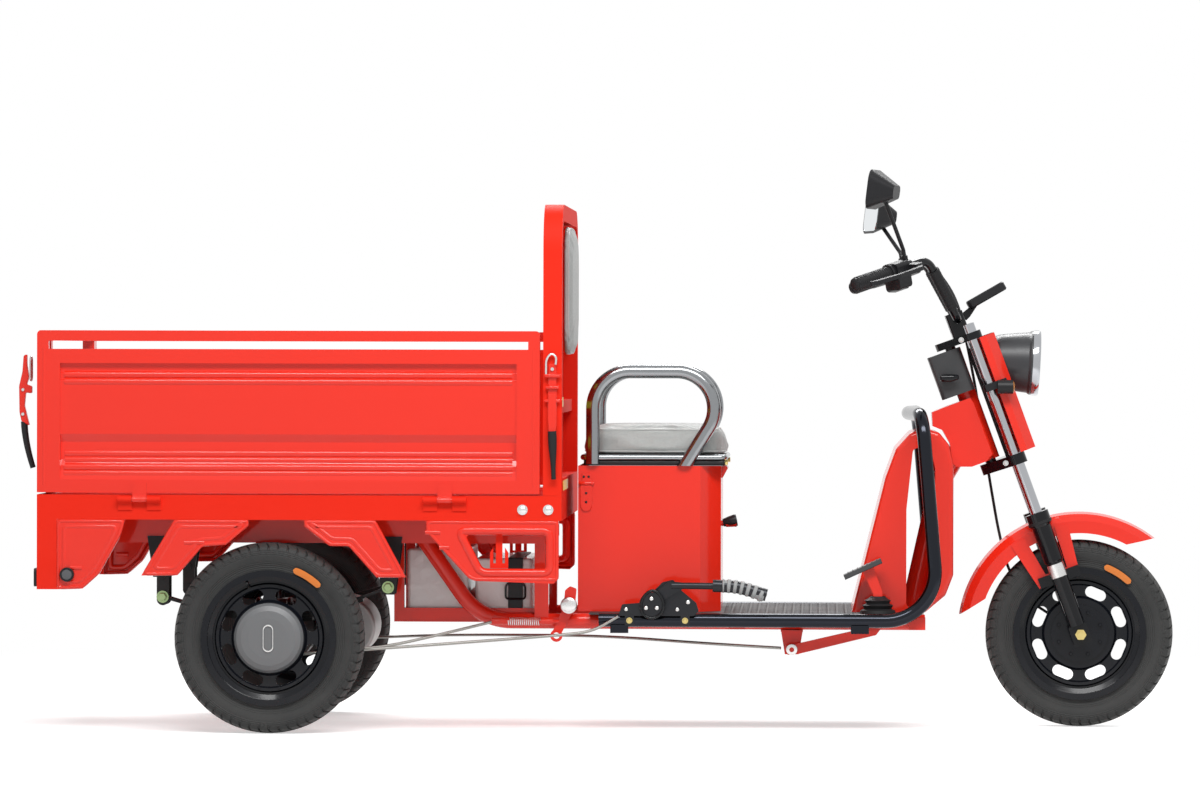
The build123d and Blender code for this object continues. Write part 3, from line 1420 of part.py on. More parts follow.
mirror_foot = grip.from_local_coords(Vector(17 + rest_gap, 0, grip_length + 56))
mirror_heights = {-1: 1317.0, 1: 1270.0}
mirror_width = 132.0
mirror_height = 96.0
mirror_depth = 58.0
with BuildPart() as mirrors:
    for side, centre_z in mirror_heights.items():
        foot = Vector(mirror_foot.X, side * abs(mirror_foot.Y), mirror_foot.Z)
        head = Vector(672, side * 300, centre_z)
        up = Vector(grip_up.X, -side * grip_up.Y, grip_up.Z)
        elbow = foot + up * 26
        shoulder = head + Vector(18, -side * 10, -34)
        add(bent_tube([foot, elbow, shoulder, head], [12, 12], 5))
        with BuildSketch(Plane(origin=foot, x_dir=(0, 1, 0), z_dir=up)):
            RegularPolygon(9, 6)
        extrude(amount=12)
        facing = Plane(origin=head, x_dir=(-side * 0.26, 0.966, 0), z_dir=(-0.93, -side * 0.25, 0.12))
        with BuildSketch(facing.offset(14)):
            RectangleRounded(mirror_width, mirror_height, 26)
        with BuildSketch(facing.offset(14 - mirror_depth)):
            RectangleRounded(mirror_width / 2, mirror_height / 3, 12)
        loft()
        with BuildSketch(facing.offset(14)):
            RectangleRounded(mirror_width - 10, mirror_height - 10, 22)
        extrude(amount=-3, mode=Mode.SUBTRACT)
finish(mirrors, "mirrors")

display_slope = 30.0
display_top = Plane(
    origin=(940, 0, 1066), x_dir=(cos(radians(display_slope)), 0, sin(radians(display_slope))),
    z_dir=(-sin(radians(display_slope)), 0, cos(radians(display_slope))),
)
with BuildPart() as display:
    with BuildSketch(display_top.offset(-12)):
        RectangleRounded(104, 92, 14)
    extrude(amount=22)
    chamfer(display.faces().sort_by(Axis.Z)[-1].edges(), length=3)
    # stalk down to the clamp on the handlebar
    with BuildSketch(Plane(origin=(0, 12, 0), x_dir=(1, 0, 0), z_dir=(0, -1, 0))):
        with BuildLine():
            Polyline((906, 1042), (880, 1020), (880, 1006), (892, 1004), (900, 1012), (926, 1052), close=True)
        make_face()
    extrude(amount=24)
    with BuildSketch(Plane(origin=(868, 12, 1006), x_dir=(1, 0, 0), z_dir=(0, -1, 0))):
        Circle(bar_radius + 8)
        Circle(bar_radius + rest_gap, mode=Mode.SUBTRACT)
    extrude(amount=24)
finish(display, "display")

# front brake cable: lever perch, past the headstock, down the left leg to the brake arm
front_route = [
    (772.5, 237.4, 1134.1), (812, 196, 1146), (872, 150, 1060), (915, 122, 860),
    (948, 113, 640), (975, 84, 480),
    (1000, 66, 380), (1046, 62, 310), (1111.4, 59.9, 267.8),
]
with BuildPart() as front_brake_cable:
    add(bent_tube(front_route, easy_radii(front_route), 3.5))
finish(front_brake_cable, "front_brake_cable")
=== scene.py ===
# %% [markdown]
# # Electric cargo tricycle
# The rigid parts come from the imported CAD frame, already in metres and in place. This notebook gives them
# paint, plating and rubber, and adds what CAD leaves out: tread blocks, bolts, springs, stitching, lamp glass
# and the soft cushions. Every new piece rides on the CAD body that carries it on the real machine.

import json
from math import cos, pi, radians, sin

import bmesh
import bpy
import numpy as np
from mathutils import Matrix, Vector
from mathutils.bvhtree import BVHTree


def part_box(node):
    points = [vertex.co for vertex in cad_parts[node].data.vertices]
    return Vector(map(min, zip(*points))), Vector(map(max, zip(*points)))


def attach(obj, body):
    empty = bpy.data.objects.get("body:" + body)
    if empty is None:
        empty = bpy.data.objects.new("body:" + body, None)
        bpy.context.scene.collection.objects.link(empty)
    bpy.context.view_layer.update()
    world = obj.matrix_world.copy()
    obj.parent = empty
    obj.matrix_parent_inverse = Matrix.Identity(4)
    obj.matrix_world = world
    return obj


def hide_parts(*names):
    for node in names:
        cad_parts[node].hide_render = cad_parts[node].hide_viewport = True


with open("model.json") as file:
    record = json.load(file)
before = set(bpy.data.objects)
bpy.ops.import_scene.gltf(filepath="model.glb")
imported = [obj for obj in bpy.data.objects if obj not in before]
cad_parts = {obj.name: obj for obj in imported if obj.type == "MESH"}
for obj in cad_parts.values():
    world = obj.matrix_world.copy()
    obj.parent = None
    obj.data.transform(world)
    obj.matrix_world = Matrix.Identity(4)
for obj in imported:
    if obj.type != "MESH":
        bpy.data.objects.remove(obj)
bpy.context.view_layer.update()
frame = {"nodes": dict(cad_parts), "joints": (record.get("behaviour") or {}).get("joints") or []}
nodes = frame["nodes"]

# %% [markdown]
# ## Where things are
# Sizes are read from the CAD nodes' own boxes, so a change of the frame carries through. Wheels are
# described by their centre and radius, the fork by a frame that leans back with its legs.

# %% Key places
def middle(node):
    """Centre of a node's box."""
    low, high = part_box(node)
    return (np.array(low) + np.array(high)) / 2


tyre_radius = (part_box("front_tyre")[1].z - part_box("front_tyre")[0].z) / 2
tyre_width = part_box("front_tyre")[1].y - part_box("front_tyre")[0].y
wheels = {
    "front_wheel": (middle("front_tyre"), -1),
    "rear_left_wheel": (middle("rear_left_tyre"), 1),
    "rear_right_wheel": (middle("rear_right_tyre"), -1),
}
steering = next(j for j in frame["joints"] if j["name"] == "steering_turn")
fork_up = np.array(steering["axis"], float)
fork_up /= np.linalg.norm(fork_up)
fork_ahead = np.array([fork_up[2], 0.0, -fork_up[0]])
front_axle = wheels["front_wheel"][0]
print("tyre radius", round(tyre_radius, 4), "fork direction", fork_up.round(4))


def fork_place(ahead, left, up):
    """A point from distances ahead of the legs, to the left and up the legs, measured from the front axle."""
    return front_axle + ahead * fork_ahead + np.array([0.0, left, 0.0]) + up * fork_up


# %% [markdown]
# ## Mesh helpers
# A surface is a function of two parameters on a grid. `grid_faces` joins the grid's points into quads, and
# `put_mesh` hands the arrays to Blender in one go. Tubes carry a circle along a path, turned shapes carry a
# profile round an axis, and `copies` stamps one small shape at many places at once.

# %% Mesh helpers
def unit(vectors):
    """Vectors scaled to length one, along the last axis."""
    vectors = np.asarray(vectors, float)
    return vectors / np.linalg.norm(vectors, axis=-1, keepdims=True)


def grid_faces(rows, cols, wrap_rows=False, wrap_cols=False):
    """Quads of a rows x cols grid: point (r, c) joins (r, c+1), (r+1, c+1) and (r+1, c)."""
    r = np.arange(rows if wrap_rows else rows - 1)
    c = np.arange(cols if wrap_cols else cols - 1)
    r, c = np.meshgrid(r, c, indexing="ij")
    near, far = (c + 1) % cols, (r + 1) % rows
    return np.stack([r * cols + c, r * cols + near, far * cols + near, far * cols + c], -1).reshape(-1, 4)


def put_mesh(name, points, faces, material, body, slot, smooth=True, fix_normals=True):
    """A mesh object from arrays, riding on a CAD body. Faces may mix sizes."""
    mesh = bpy.data.meshes.new(name)
    mesh.from_pydata(np.asarray(points, float).reshape(-1, 3).tolist(), [], [list(map(int, f)) for f in faces])
    mesh.update()
    obj = bpy.data.objects.new(name, mesh)
    bpy.context.scene.collection.objects.link(obj)
    if fix_normals:
        work = bmesh.new()
        work.from_mesh(mesh)
        bmesh.ops.remove_doubles(work, verts=work.verts, dist=1e-6)
        bmesh.ops.recalc_face_normals(work, faces=work.faces)
        work.to_mesh(mesh)
        work.free()
    mesh.polygons.foreach_set("use_smooth", [smooth] * len(mesh.polygons))
    mesh.materials.append(material)
    if smooth:
        mesh.set_sharp_from_angle(angle=radians(38))
    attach(obj, body)
    return obj


def square_to(axis):
    """Two unit directions square to an axis and to each other."""
    side = np.cross(axis, [0.0, 0.0, 1.0])
    if np.linalg.norm(side) < 0.1:
        side = np.cross(axis, [0.0, 1.0, 0.0])
    return unit(side), np.cross(axis, unit(side))


def circle(side, up, around):
    """Unit circle spanned by two directions, or one such circle per row of them."""
    angle = np.linspace(0, 2 * pi, around, endpoint=False)[:, None]
    return np.cos(angle) * side[..., None, :] + np.sin(angle) * up[..., None, :]


def tube(path, radius, around=12):
    """Circle of the given radius (one number or one per point) carried along a path, with closed ends."""
    path = np.asarray(path, float)
    ahead = unit(np.gradient(path, axis=0))
    sides = [square_to(ahead[0])[0]]
    for step in ahead[1:]:
        sides.append(unit(sides[-1] - step * (sides[-1] @ step)))
    radius = np.broadcast_to(radius, len(path))[:, None, None]
    points = (path[:, None] + radius * circle(np.array(sides), np.cross(ahead, sides), around)).reshape(-1, 3)
    count = len(points)
    faces = grid_faces(len(path), around, wrap_cols=True).tolist()
    for a in range(around):
        b = (a + 1) % around
        faces += [[count, b, a], [count + 1, count - around + a, count - around + b]]
    return np.vstack([points, path[:1], path[-1:]]), faces


def turned(profile, centre, axis, around=48, close=False):
    """Profile of (distance along the axis, radius) carried round the axis through a centre."""
    profile = np.asarray(profile, float)
    axis = unit(axis)
    ring = circle(*square_to(axis), around)
    points = np.asarray(centre) + profile[None, :, :1] * axis + profile[None, :, 1:] * ring[:, None]
    return points.reshape(-1, 3), grid_faces(around, len(profile), wrap_rows=True, wrap_cols=close)


def copies(points, faces, places):
    """One shape stamped at each 4x4 place, as a single pair of arrays."""
    points, places = np.asarray(points, float), np.asarray(places, float)
    moved = np.einsum("nij,pj->npi", places[:, :3, :3], points) + places[:, None, :3, 3]
    return moved.reshape(-1, 3), [[v + copy * len(points) for v in f] for copy in range(len(places)) for f in faces]


def join(*shapes):
    """Several (points, faces) shapes as one."""
    points, faces, start = [], [], 0
    for shape_points, shape_faces in shapes:
        points.append(np.asarray(shape_points, float))
        faces += [[v + start for v in face] for face in shape_faces]
        start += len(shape_points)
    return np.vstack(points), faces


def place_at(origin, z_axis, x_hint=(1.0, 0.0, 0.0)):
    """4x4 place whose z points along z_axis and whose x is near x_hint."""
    z = unit(z_axis)
    x = x_hint - z * (x_hint @ z)
    if np.linalg.norm(x) < 1e-3:
        x = np.cross(z, [0.0, 1.0, 0.3])
    x = unit(x)
    place = np.eye(4)
    place[:3, :] = np.stack([x, np.cross(z, x), z, origin], 1)
    return place


def at_side(outline, y):
    """Points of an (x, z) outline in space, all at one y."""
    outline = np.asarray(outline, float)
    return np.stack([outline[:, 0], np.full(len(outline), y), outline[:, 1]], 1)


# %% [markdown]
# ## Shared effects
# Several finishes need the same effect at different strengths, so each effect is one node group with named
# sockets. `fine_grain` gives the little bumps of moulded or sprayed surfaces, `road_film` a thin veil of dust
# that thickens towards the ground, and `tone_drift` the slow change of shade across a large panel.

# %% Effect groups
def feed(tree, made, values):
    """Fill a node's inputs, by name or number: sockets are linked and colours get their alpha."""
    for label, value in values.items():
        socket = made.inputs[label]
        if isinstance(value, bpy.types.NodeSocket):
            tree.links.new(value, socket)
        else:
            socket.default_value = (*value, 1.0) if socket.type == "RGBA" else value


def add(tree, kind, values=None, **settings):
    """A shader node with its own settings and its inputs filled."""
    made = tree.nodes.new("ShaderNode" + kind)
    for label, value in settings.items():
        setattr(made, label, value)
    feed(tree, made, values or {})
    return made


def maths(tree, kind, a, b=None, clamp=False):
    """A Math node fed by sockets or numbers."""
    values = {0: a} if b is None else {0: a, 1: b}
    return add(tree, "Math", values, operation=kind, use_clamp=clamp).outputs[0]


def noise(tree, vector, scale, detail=3.0, rough=0.55):
    """A Noise Texture's factor at a scale given as a number or a socket."""
    values = {"Vector": vector, "Scale": scale, "Detail": detail, "Roughness": rough}
    return add(tree, "TexNoise", values).outputs["Fac"]


def object_coords(tree):
    """Object coordinates: metres in the shared frame, because every object sits at the origin."""
    return add(tree, "TexCoord").outputs["Object"]


def effect(name, inputs, output):
    """An empty node group with float inputs, their defaults, and one float output."""
    group = bpy.data.node_groups.new(name, "ShaderNodeTree")
    for label, value in inputs.items():
        group.interface.new_socket(label, in_out="INPUT", socket_type="NodeSocketFloat").default_value = value
    group.interface.new_socket(output, in_out="OUTPUT", socket_type="NodeSocketFloat")
    return group, group.nodes.new("NodeGroupInput").outputs, group.nodes.new("NodeGroupOutput")


def build_fine_grain():
    """Height made of one noise at Scale and a finer one at four times Scale, mixed by Fine."""
    group, given, out = effect("fine_grain", {"Scale": 900.0, "Fine": 0.35}, "Height")
    coords = object_coords(group)
    coarse = noise(group, coords, given["Scale"], 2.0)
    fine = noise(group, coords, maths(group, "MULTIPLY", given["Scale"], 4.0), 1.0)
    feed(group, out, {"Height": maths(group, "ADD", coarse, maths(group, "MULTIPLY", fine, given["Fine"]))})
    return group


def build_road_film():
    """Dust mask: full at Low height, gone at High height, broken up by noise, times Amount."""
    group, given, out = effect("road_film", {"Low": 0.05, "High": 0.6, "Amount": 0.5}, "Mask")
    coords = object_coords(group)
    height = add(group, "SeparateXYZ", {0: coords}).outputs["Z"]
    ramp = add(group, "MapRange", {"Value": height, "From Min": given["Low"], "From Max": given["High"],
                                   "To Min": 1.0, "To Max": 0.08}).outputs["Result"]
    cloud = noise(group, coords, 9.0, 5.0, 0.65)
    grit = noise(group, coords, 160.0, 2.0)
    broken = maths(group, "MULTIPLY", maths(group, "SUBTRACT", cloud, 0.30, True), 2.4, True)
    speckled = maths(group, "MULTIPLY", broken, maths(group, "ADD", grit, 0.45))
    low_down = maths(group, "MULTIPLY", speckled, ramp)
    feed(group, out, {"Mask": maths(group, "MULTIPLY", low_down, given["Amount"], True)})
    return group


def build_tone_drift():
    """A slow noise between -Depth/2 and +Depth/2 round 1, to multiply a colour with."""
    group, given, out = effect("tone_drift", {"Scale": 2.0, "Depth": 0.1}, "Value")
    cloud = noise(group, object_coords(group), given["Scale"], 2.0, 0.5)
    swing = maths(group, "MULTIPLY", maths(group, "SUBTRACT", cloud, 0.5), given["Depth"])
    feed(group, out, {"Value": maths(group, "ADD", swing, 1.0)})
    return group


fine_grain, road_film, tone_drift = build_fine_grain(), build_road_film(), build_tone_drift()


def use(tree, group, **values):
    """Output of an effect group placed in a material with its own values."""
    made = tree.nodes.new("ShaderNodeGroup")
    made.node_tree = group
    feed(tree, made, values)
    return made.outputs[0]


def new_finish(name):
    """An empty material: its tree, its Principled shader."""
    material = bpy.data.materials.new(name)
    material.use_nodes = True
    shader = next(n for n in material.node_tree.nodes if n.type == "BSDF_PRINCIPLED")
    return material, material.node_tree, shader


def mix_colour(tree, factor, a, b, mode="MIX"):
    """Mix two colours, given as tuples or sockets."""
    return add(tree, "Mix", {0: factor, 6: a, 7: b}, data_type="RGBA", blend_type=mode).outputs[2]


def shaded(tree, colour, value):
    """A colour multiplied by one value in all its channels."""
    grey = add(tree, "CombineColor", {"Red": value, "Green": value, "Blue": value}).outputs["Color"]
    return mix_colour(tree, 1.0, colour, grey, "MULTIPLY")


def dulled(tree, film, amount, roughness):
    """Roughness that grows with the dust film."""
    return maths(tree, "ADD", maths(tree, "MULTIPLY", film, amount), roughness, True)


def bump(tree, shader, height, distance, strength=0.6):
    """Bump of a real depth in metres, feeding the shader's Normal."""
    made = add(tree, "Bump", {"Strength": strength, "Distance": distance, "Height": height})
    feed(tree, shader, {"Normal": made.outputs["Normal"]})


# %% [markdown]
# ## Finishes
# The vehicle is sprayed with a glossy orange-red enamel over steel, so its paint has a clear coat with a very
# slight orange peel, a slow drift of tone and a thin film of dust low down. The same recipe with other values
# gives the duller red of the bed frame and the black of the fork and the wheels.

# %% Enamel
def enamel(name, colour, roughness=0.28, coat=0.4, dust=0.25, drift=0.10, peel=0.35, gloss=0.35):
    """Sprayed enamel: colour with slow drift, a dust film, orange peel in the bump and a clear coat."""
    material, tree, shader = new_finish(name)
    film = use(tree, road_film, Low=0.05, High=0.55, Amount=dust)
    body = shaded(tree, colour, use(tree, tone_drift, Scale=1.7, Depth=drift))
    feed(tree, shader, {
        "Base Color": mix_colour(tree, film, body, (0.36, 0.33, 0.30)),
        "Roughness": dulled(tree, film, 0.5, roughness),
        "Specular IOR Level": gloss, "Coat Weight": coat, "Coat Roughness": 0.06,
    })
    bump(tree, shader, use(tree, fine_grain, Scale=260.0, Fine=0.15), 0.0001, peel)
    return material


vehicle_red = (0.76, 0.022, 0.008)
red_enamel = enamel("red_enamel", vehicle_red, 0.26, 0.55, 0.03, 0.05, 0.2, 0.15)
matt_red = enamel("matt_red", vehicle_red, 0.6, 0.0, 0.05, 0.05, 0.2, 0.1)
black_enamel = enamel("black_enamel", (0.004, 0.0045, 0.006), 0.13, 0.22, 0.02, 0.2, 0.2, 0.15)
wheel_enamel = enamel("wheel_enamel", (0.003, 0.004, 0.007), 0.16, 0.18, 0.02, 0.2, 0.2, 0.15)
chassis_black = enamel("chassis_black", (0.010, 0.010, 0.011), 0.45, 0.1, 0.12, 0.3, 0.35, 0.2)
yellow_film = enamel("yellow_film", (0.85, 0.62, 0.02), 0.35, 0.2, 0.05, 0.05)
orange_film = enamel("orange_film", (0.62, 0.17, 0.02), 0.45, 0.1, 0.12, 0.15)

# %% [markdown]
# Metals have uneven roughness from a brushed or cast grain, and a dust film where they are not wiped clean.
# Rubber and moulded plastic are nearly black, and what makes them read is a broad sheen and a fine grain.

# %% Metals, rubber and plastic
def metal(name, colour, roughness, spread=0.12, grain_scale=500.0, depth=0.00005, dust=0.1, metallic=1.0):
    """Bare, plated or cast metal: uneven in roughness unless spread is 0, dusty unless dust is 0."""
    material, tree, shader = new_finish(name)
    if dust:
        film = use(tree, road_film, Low=0.05, High=0.6, Amount=dust)
        colour = mix_colour(tree, film, colour, (0.30, 0.27, 0.24))
    if spread:
        grain = use(tree, fine_grain, Scale=grain_scale, Fine=0.4)
        bump(tree, shader, grain, depth, 0.5)
        swing = maths(tree, "MULTIPLY", maths(tree, "SUBTRACT", grain, 0.6), spread)
        roughness = maths(tree, "ADD", swing, roughness, True)
    feed(tree, shader, {"Base Color": colour, "Metallic": metallic, "Roughness": roughness})
    return material


def polished(name, colour, roughness):
    """Clean plated tube."""
    return metal(name, colour, roughness, 0.04, 80.0, 0.00001, 0.0)


def moulded(name, colour, roughness=0.55, grain_scale=900.0, depth=0.0002, dust=0.05, drift=0.2, gloss=0.25):
    """Moulded rubber or plastic: grained, slightly dusty."""
    material, tree, shader = new_finish(name)
    film = use(tree, road_film, Low=0.0, High=0.7, Amount=dust)
    body = shaded(tree, colour, use(tree, tone_drift, Scale=4.0, Depth=drift))
    feed(tree, shader, {
        "Base Color": mix_colour(tree, film, body, (0.25, 0.23, 0.21)),
        "Roughness": dulled(tree, film, 0.3, roughness),
        "Specular IOR Level": gloss,
    })
    bump(tree, shader, use(tree, fine_grain, Scale=grain_scale, Fine=0.5), depth, 0.5)
    return material


dark_chrome = polished("dark_chrome", (0.42, 0.43, 0.45), 0.12)
# The leg loop is chrome; its near-black base colour is a painted reflection of dark surroundings, not the metal's own
# colour.
loop_chrome_painted_reflection = polished("loop_chrome_painted_reflection", (0.024, 0.026, 0.032), 0.14)
bright_zinc = metal("bright_zinc", (0.66, 0.66, 0.65), 0.26, dust=0.03)
yellow_zinc = metal("yellow_zinc", (0.62, 0.50, 0.20), 0.30, dust=0.03)
green_zinc = metal("green_zinc", (0.30, 0.40, 0.20), 0.34, dust=0.05)
armrest_steel = metal("armrest_steel", (0.27, 0.28, 0.29), 0.18, 0.05, 120.0, 0.00002, 0.0)
mirror_glass = metal("mirror_glass", (0.75, 0.78, 0.80), 0.02, spread=0.0, dust=0.0)
cast_alloy = metal("cast_alloy", (0.34, 0.34, 0.34), 0.52, 0.15, 240.0, 0.0003, 0.3)
cable_grey = metal("cable_grey", (0.30, 0.30, 0.28), 0.42, dust=0.05)
grey_steel = metal("grey_steel", (0.030, 0.031, 0.034), 0.34, 0.15, 200.0, 0.0001, 0.03)
deck_finish = metal("deck_finish", (0.030, 0.031, 0.034), 0.62, 0.15, 150.0, 0.0002, 0.25, 0.2)
black_rubber = moulded("black_rubber", (0.011, 0.011, 0.012), 0.55, 700.0)
grey_rubber = moulded("grey_rubber", (0.10, 0.102, 0.11), 0.5, 700.0)
grip_rubber = moulded("grip_rubber", (0.010, 0.010, 0.011), 0.5, 900.0, 0.0003, 0.02)
grip_grey = moulded("grip_grey", (0.30, 0.31, 0.31), 0.5)
black_plastic = moulded("black_plastic", (0.010, 0.010, 0.0115), 0.40, 1100.0, 0.0001, 0.02)
cap_plastic = moulded("cap_plastic", (0.135, 0.14, 0.145), 0.42, 500.0, 0.0001, drift=0.1, gloss=0.5)
shell_grey = moulded("shell_grey", (0.040, 0.041, 0.043), 0.38, gloss=0.4)
lamp_shell = moulded("lamp_shell", (0.030, 0.031, 0.034), 0.36, 900.0, 0.0001, 0.02, 0.1, 0.4)

# %% [markdown]
# The tyre carries a pattern that follows the wheel, not the world: rings on the side wall are bands of equal
# distance from the axle, worked out from Object coordinates centred on the wheel by a Mapping node.

# %% Tyre rubber
def tyre_rubber(body):
    """Rubber with moulded rings round the side wall and a dusty shoulder, centred on one wheel."""
    material, tree, shader = new_finish("tyre_" + body)
    place = add(tree, "Mapping", {"Vector": object_coords(tree), "Location": tuple(-wheels[body][0])})
    split = add(tree, "SeparateXYZ", {0: place.outputs["Vector"]}).outputs
    flat = add(tree, "CombineXYZ", {"X": split["X"], "Y": split["Z"]}).outputs[0]
    distance = add(tree, "VectorMath", {0: flat}, operation="LENGTH").outputs["Value"]
    rings = maths(tree, "SINE", maths(tree, "MULTIPLY", distance, 2 * pi / 0.0045))
    bands = [maths(tree, "LESS_THAN", maths(tree, "ABSOLUTE", maths(tree, "SUBTRACT", distance, radius)), reach)
             for radius, reach in ((0.176, 0.009), (0.206, 0.006))]
    banded = maths(tree, "MULTIPLY", rings, maths(tree, "ADD", *bands))
    dust = use(tree, road_film, Low=0.0, High=1.2, Amount=0.3)
    worn = maths(tree, "MULTIPLY", maths(tree, "GREATER_THAN", distance, 0.222), 0.25)
    veil = maths(tree, "ADD", dust, worn, True)
    feed(tree, shader, {
        "Base Color": mix_colour(tree, veil, (0.026, 0.027, 0.027), (0.085, 0.082, 0.078)),
        "Roughness": dulled(tree, dust, 0.25, 0.58),
        "Specular IOR Level": 0.3,
    })
    grain = use(tree, fine_grain, Scale=420.0, Fine=0.5)
    bump(tree, shader, maths(tree, "ADD", maths(tree, "MULTIPLY", banded, 0.8), grain), 0.0006, 0.8)
    return material


tyre_finish = {body: tyre_rubber(body) for body in wheels}

# %% [markdown]
# Vinyl seat covering has a pebbled leather grain: Voronoi cells a millimetre and a half across, pressed in along
# their edges. The shrink wrap left on the battery and controller is a pale glossy film with sharp creases.

# %% Vinyl, film and glass
def vinyl(name, colour):
    """Pebbled vinyl: cell edges pressed in, colour a little darker in the grooves."""
    material, tree, shader = new_finish(name)
    coords = object_coords(tree)
    cells = add(tree, "TexVoronoi", {"Scale": 520.0, "Vector": coords}, feature="DISTANCE_TO_EDGE")
    edge = maths(tree, "MULTIPLY", cells.outputs["Distance"], 3.0, True)
    tone = use(tree, tone_drift, Scale=9.0, Depth=0.18)
    shade = maths(tree, "MULTIPLY", maths(tree, "ADD", maths(tree, "MULTIPLY", edge, 0.35), 0.72), tone)
    feed(tree, shader, {"Base Color": shaded(tree, colour, shade), "Roughness": 0.46, "Sheen Weight": 0.15})
    wrinkles = maths(tree, "MULTIPLY", noise(tree, coords, 26.0, 3.0, 0.6), 2.0)
    bump(tree, shader, maths(tree, "ADD", edge, wrinkles), 0.0005, 0.55)
    return material


def wrapped(name, colour):
    """Creased plastic film over a box."""
    material, tree, shader = new_finish(name)
    coords = object_coords(tree)
    swirl = add(tree, "TexNoise", {"Scale": 14.0, "Vector": coords}).outputs["Color"]
    offset = add(tree, "VectorMath", {0: swirl, "Scale": 0.08}, operation="SCALE").outputs[0]
    bent = add(tree, "VectorMath", {0: coords, 1: offset}, operation="ADD").outputs[0]
    folds = add(tree, "TexVoronoi", {"Scale": 22.0, "Vector": bent}, feature="F1").outputs["Distance"]
    film = use(tree, road_film, Low=0.1, High=0.6, Amount=0.25)
    feed(tree, shader, {"Base Color": mix_colour(tree, film, colour, (0.30, 0.27, 0.25)), "Roughness": 0.24,
                        "Coat Weight": 0.5})
    fine = maths(tree, "MULTIPLY", noise(tree, bent, 60.0, 4.0, 0.6), 0.5)
    bump(tree, shader, maths(tree, "ADD", maths(tree, "POWER", folds, 0.6), fine), 0.004, 0.7)
    return material


def clear(name, colour, roughness=0.05, weight=1.0):
    """Clear moulded lens."""
    material, tree, shader = new_finish(name)
    feed(tree, shader, {"Base Color": colour, "Roughness": roughness, "Transmission Weight": weight, "IOR": 1.46})
    return material


seat_vinyl = vinyl("seat_vinyl", (0.36, 0.38, 0.37))
piping_vinyl = vinyl("piping_vinyl", (0.50, 0.52, 0.51))
pale_wrap = wrapped("pale_wrap", (0.70, 0.70, 0.69))
lamp_glass = clear("lamp_glass", (0.92, 0.95, 0.97))
amber_lens = clear("amber_lens", (0.85, 0.30, 0.03), 0.15, 0.55)

# %% [markdown]
# ## Dress the CAD nodes
# A node whose shape is already right keeps it, and only its material slot changes.

# %% Finish of each node
finish_of = {
    red_enamel: ["bed_bearers", "bed_deck", "side_gate_right", "side_gate_left", "tailgate",
                 "backrest_plate", "skirt_panels", "floor_frame", "leg_shield", "neck", "seat_box", "mudguard",
                 "front_panel", "brake_pedal", "park_lever"],
    matt_red: ["headboard", "bed_frame"],
    loop_chrome_painted_reflection: ["leg_loop"],
    shell_grey: ["lock_box"],
    black_enamel: ["fork_yokes", "handlebar", "tail_latches", "front_latches", "fork_sliders"],
    chassis_black: ["leaf_springs", "rear_axle"],
    wheel_enamel: ["front_rim", "rear_left_rim", "rear_right_rim"],
    cap_plastic: ["rear_left_cap", "rear_right_cap"],
    cast_alloy: ["drive_motor"],
    pale_wrap: ["controller_box", "battery"],
    deck_finish: ["floor_plate"],
    black_plastic: ["hand_controls", "mirrors", "display", "side_markers", "indicators"],
    black_rubber: ["pedal_boot", "front_brake_cable"],
    armrest_steel: ["seat_frame"],
    grey_steel: ["hand_brake"],
    cable_grey: ["brake_cables"],
    yellow_zinc: ["front_axle"],
    dark_chrome: ["fork_stanchions"],
    lamp_shell: ["headlight"],
    lamp_glass: ["headlight_lens"],
    seat_vinyl: ["seat_cushion", "backrest_cushion"],
}


def dress(node, material):
    """Put one material on every face of a CAD node."""
    obj = nodes[node]
    obj.data.materials.clear()
    obj.data.materials.append(material)


for material, members in finish_of.items():
    for node in members:
        dress(node, material)
for body in wheels:
    dress(body.replace("wheel", "tyre"), tyre_finish[body])
print("dressed", sum(len(v) for v in finish_of.values()) + len(wheels), "nodes of", len(nodes))

# %% [markdown]
# ## Road tyres
# The frame's tyre is a smooth ring. A real one has blocks: side grooves cut the shoulders into lugs that
# reach down the side wall, a zigzag groove runs round either side of the middle rib, and short sipes cross it.
# The new tyre is one closed surface on a grid of (angle, place across the section). Its radius is lowered
# where a groove runs, and the grid has rows and columns exactly on the groove edges, so few faces give crisp
# blocks. It keeps inside the frame's tyre, which stays in the scene, hidden.

# %% Tyre with tread
def half_section():
    """Rows from the middle of the tread to the bead: distance across, radius, share of the groove depth."""
    half, shoulder, bulge = 0.034, tyre_radius - 0.009, tyre_width / 2
    crown = (half ** 2 + 0.009 ** 2) / 0.018
    across = np.array([0.0, 4.0, 8.5, 9.5, 12.0, 13.0, 17.0, 21.0, 25.0, 29.0, 32.0, 34.0]) / 1000
    tread = np.stack([across, tyre_radius - crown + np.sqrt(crown ** 2 - across ** 2), np.ones(12)], 1)
    t = np.linspace(0, 1, 12)[1:]
    wall_y = half + (bulge - half) * np.sin(pi * np.clip(t / 0.86, 0, 1) ** 0.8) ** 0.9 - 0.003 * t
    wall_r = shoulder - (shoulder - 0.169) * t
    wall = np.stack([wall_y, wall_r, np.clip(1.15 - t * 2.6, 0, 1)], 1)
    inside = np.array([(0.031, 0.1524, 0.0), (0.024, 0.1524, 0.0), (0.026, 0.20, 0.0), (0.016, 0.2165, 0.0)])
    return np.vstack([tread, wall, inside])


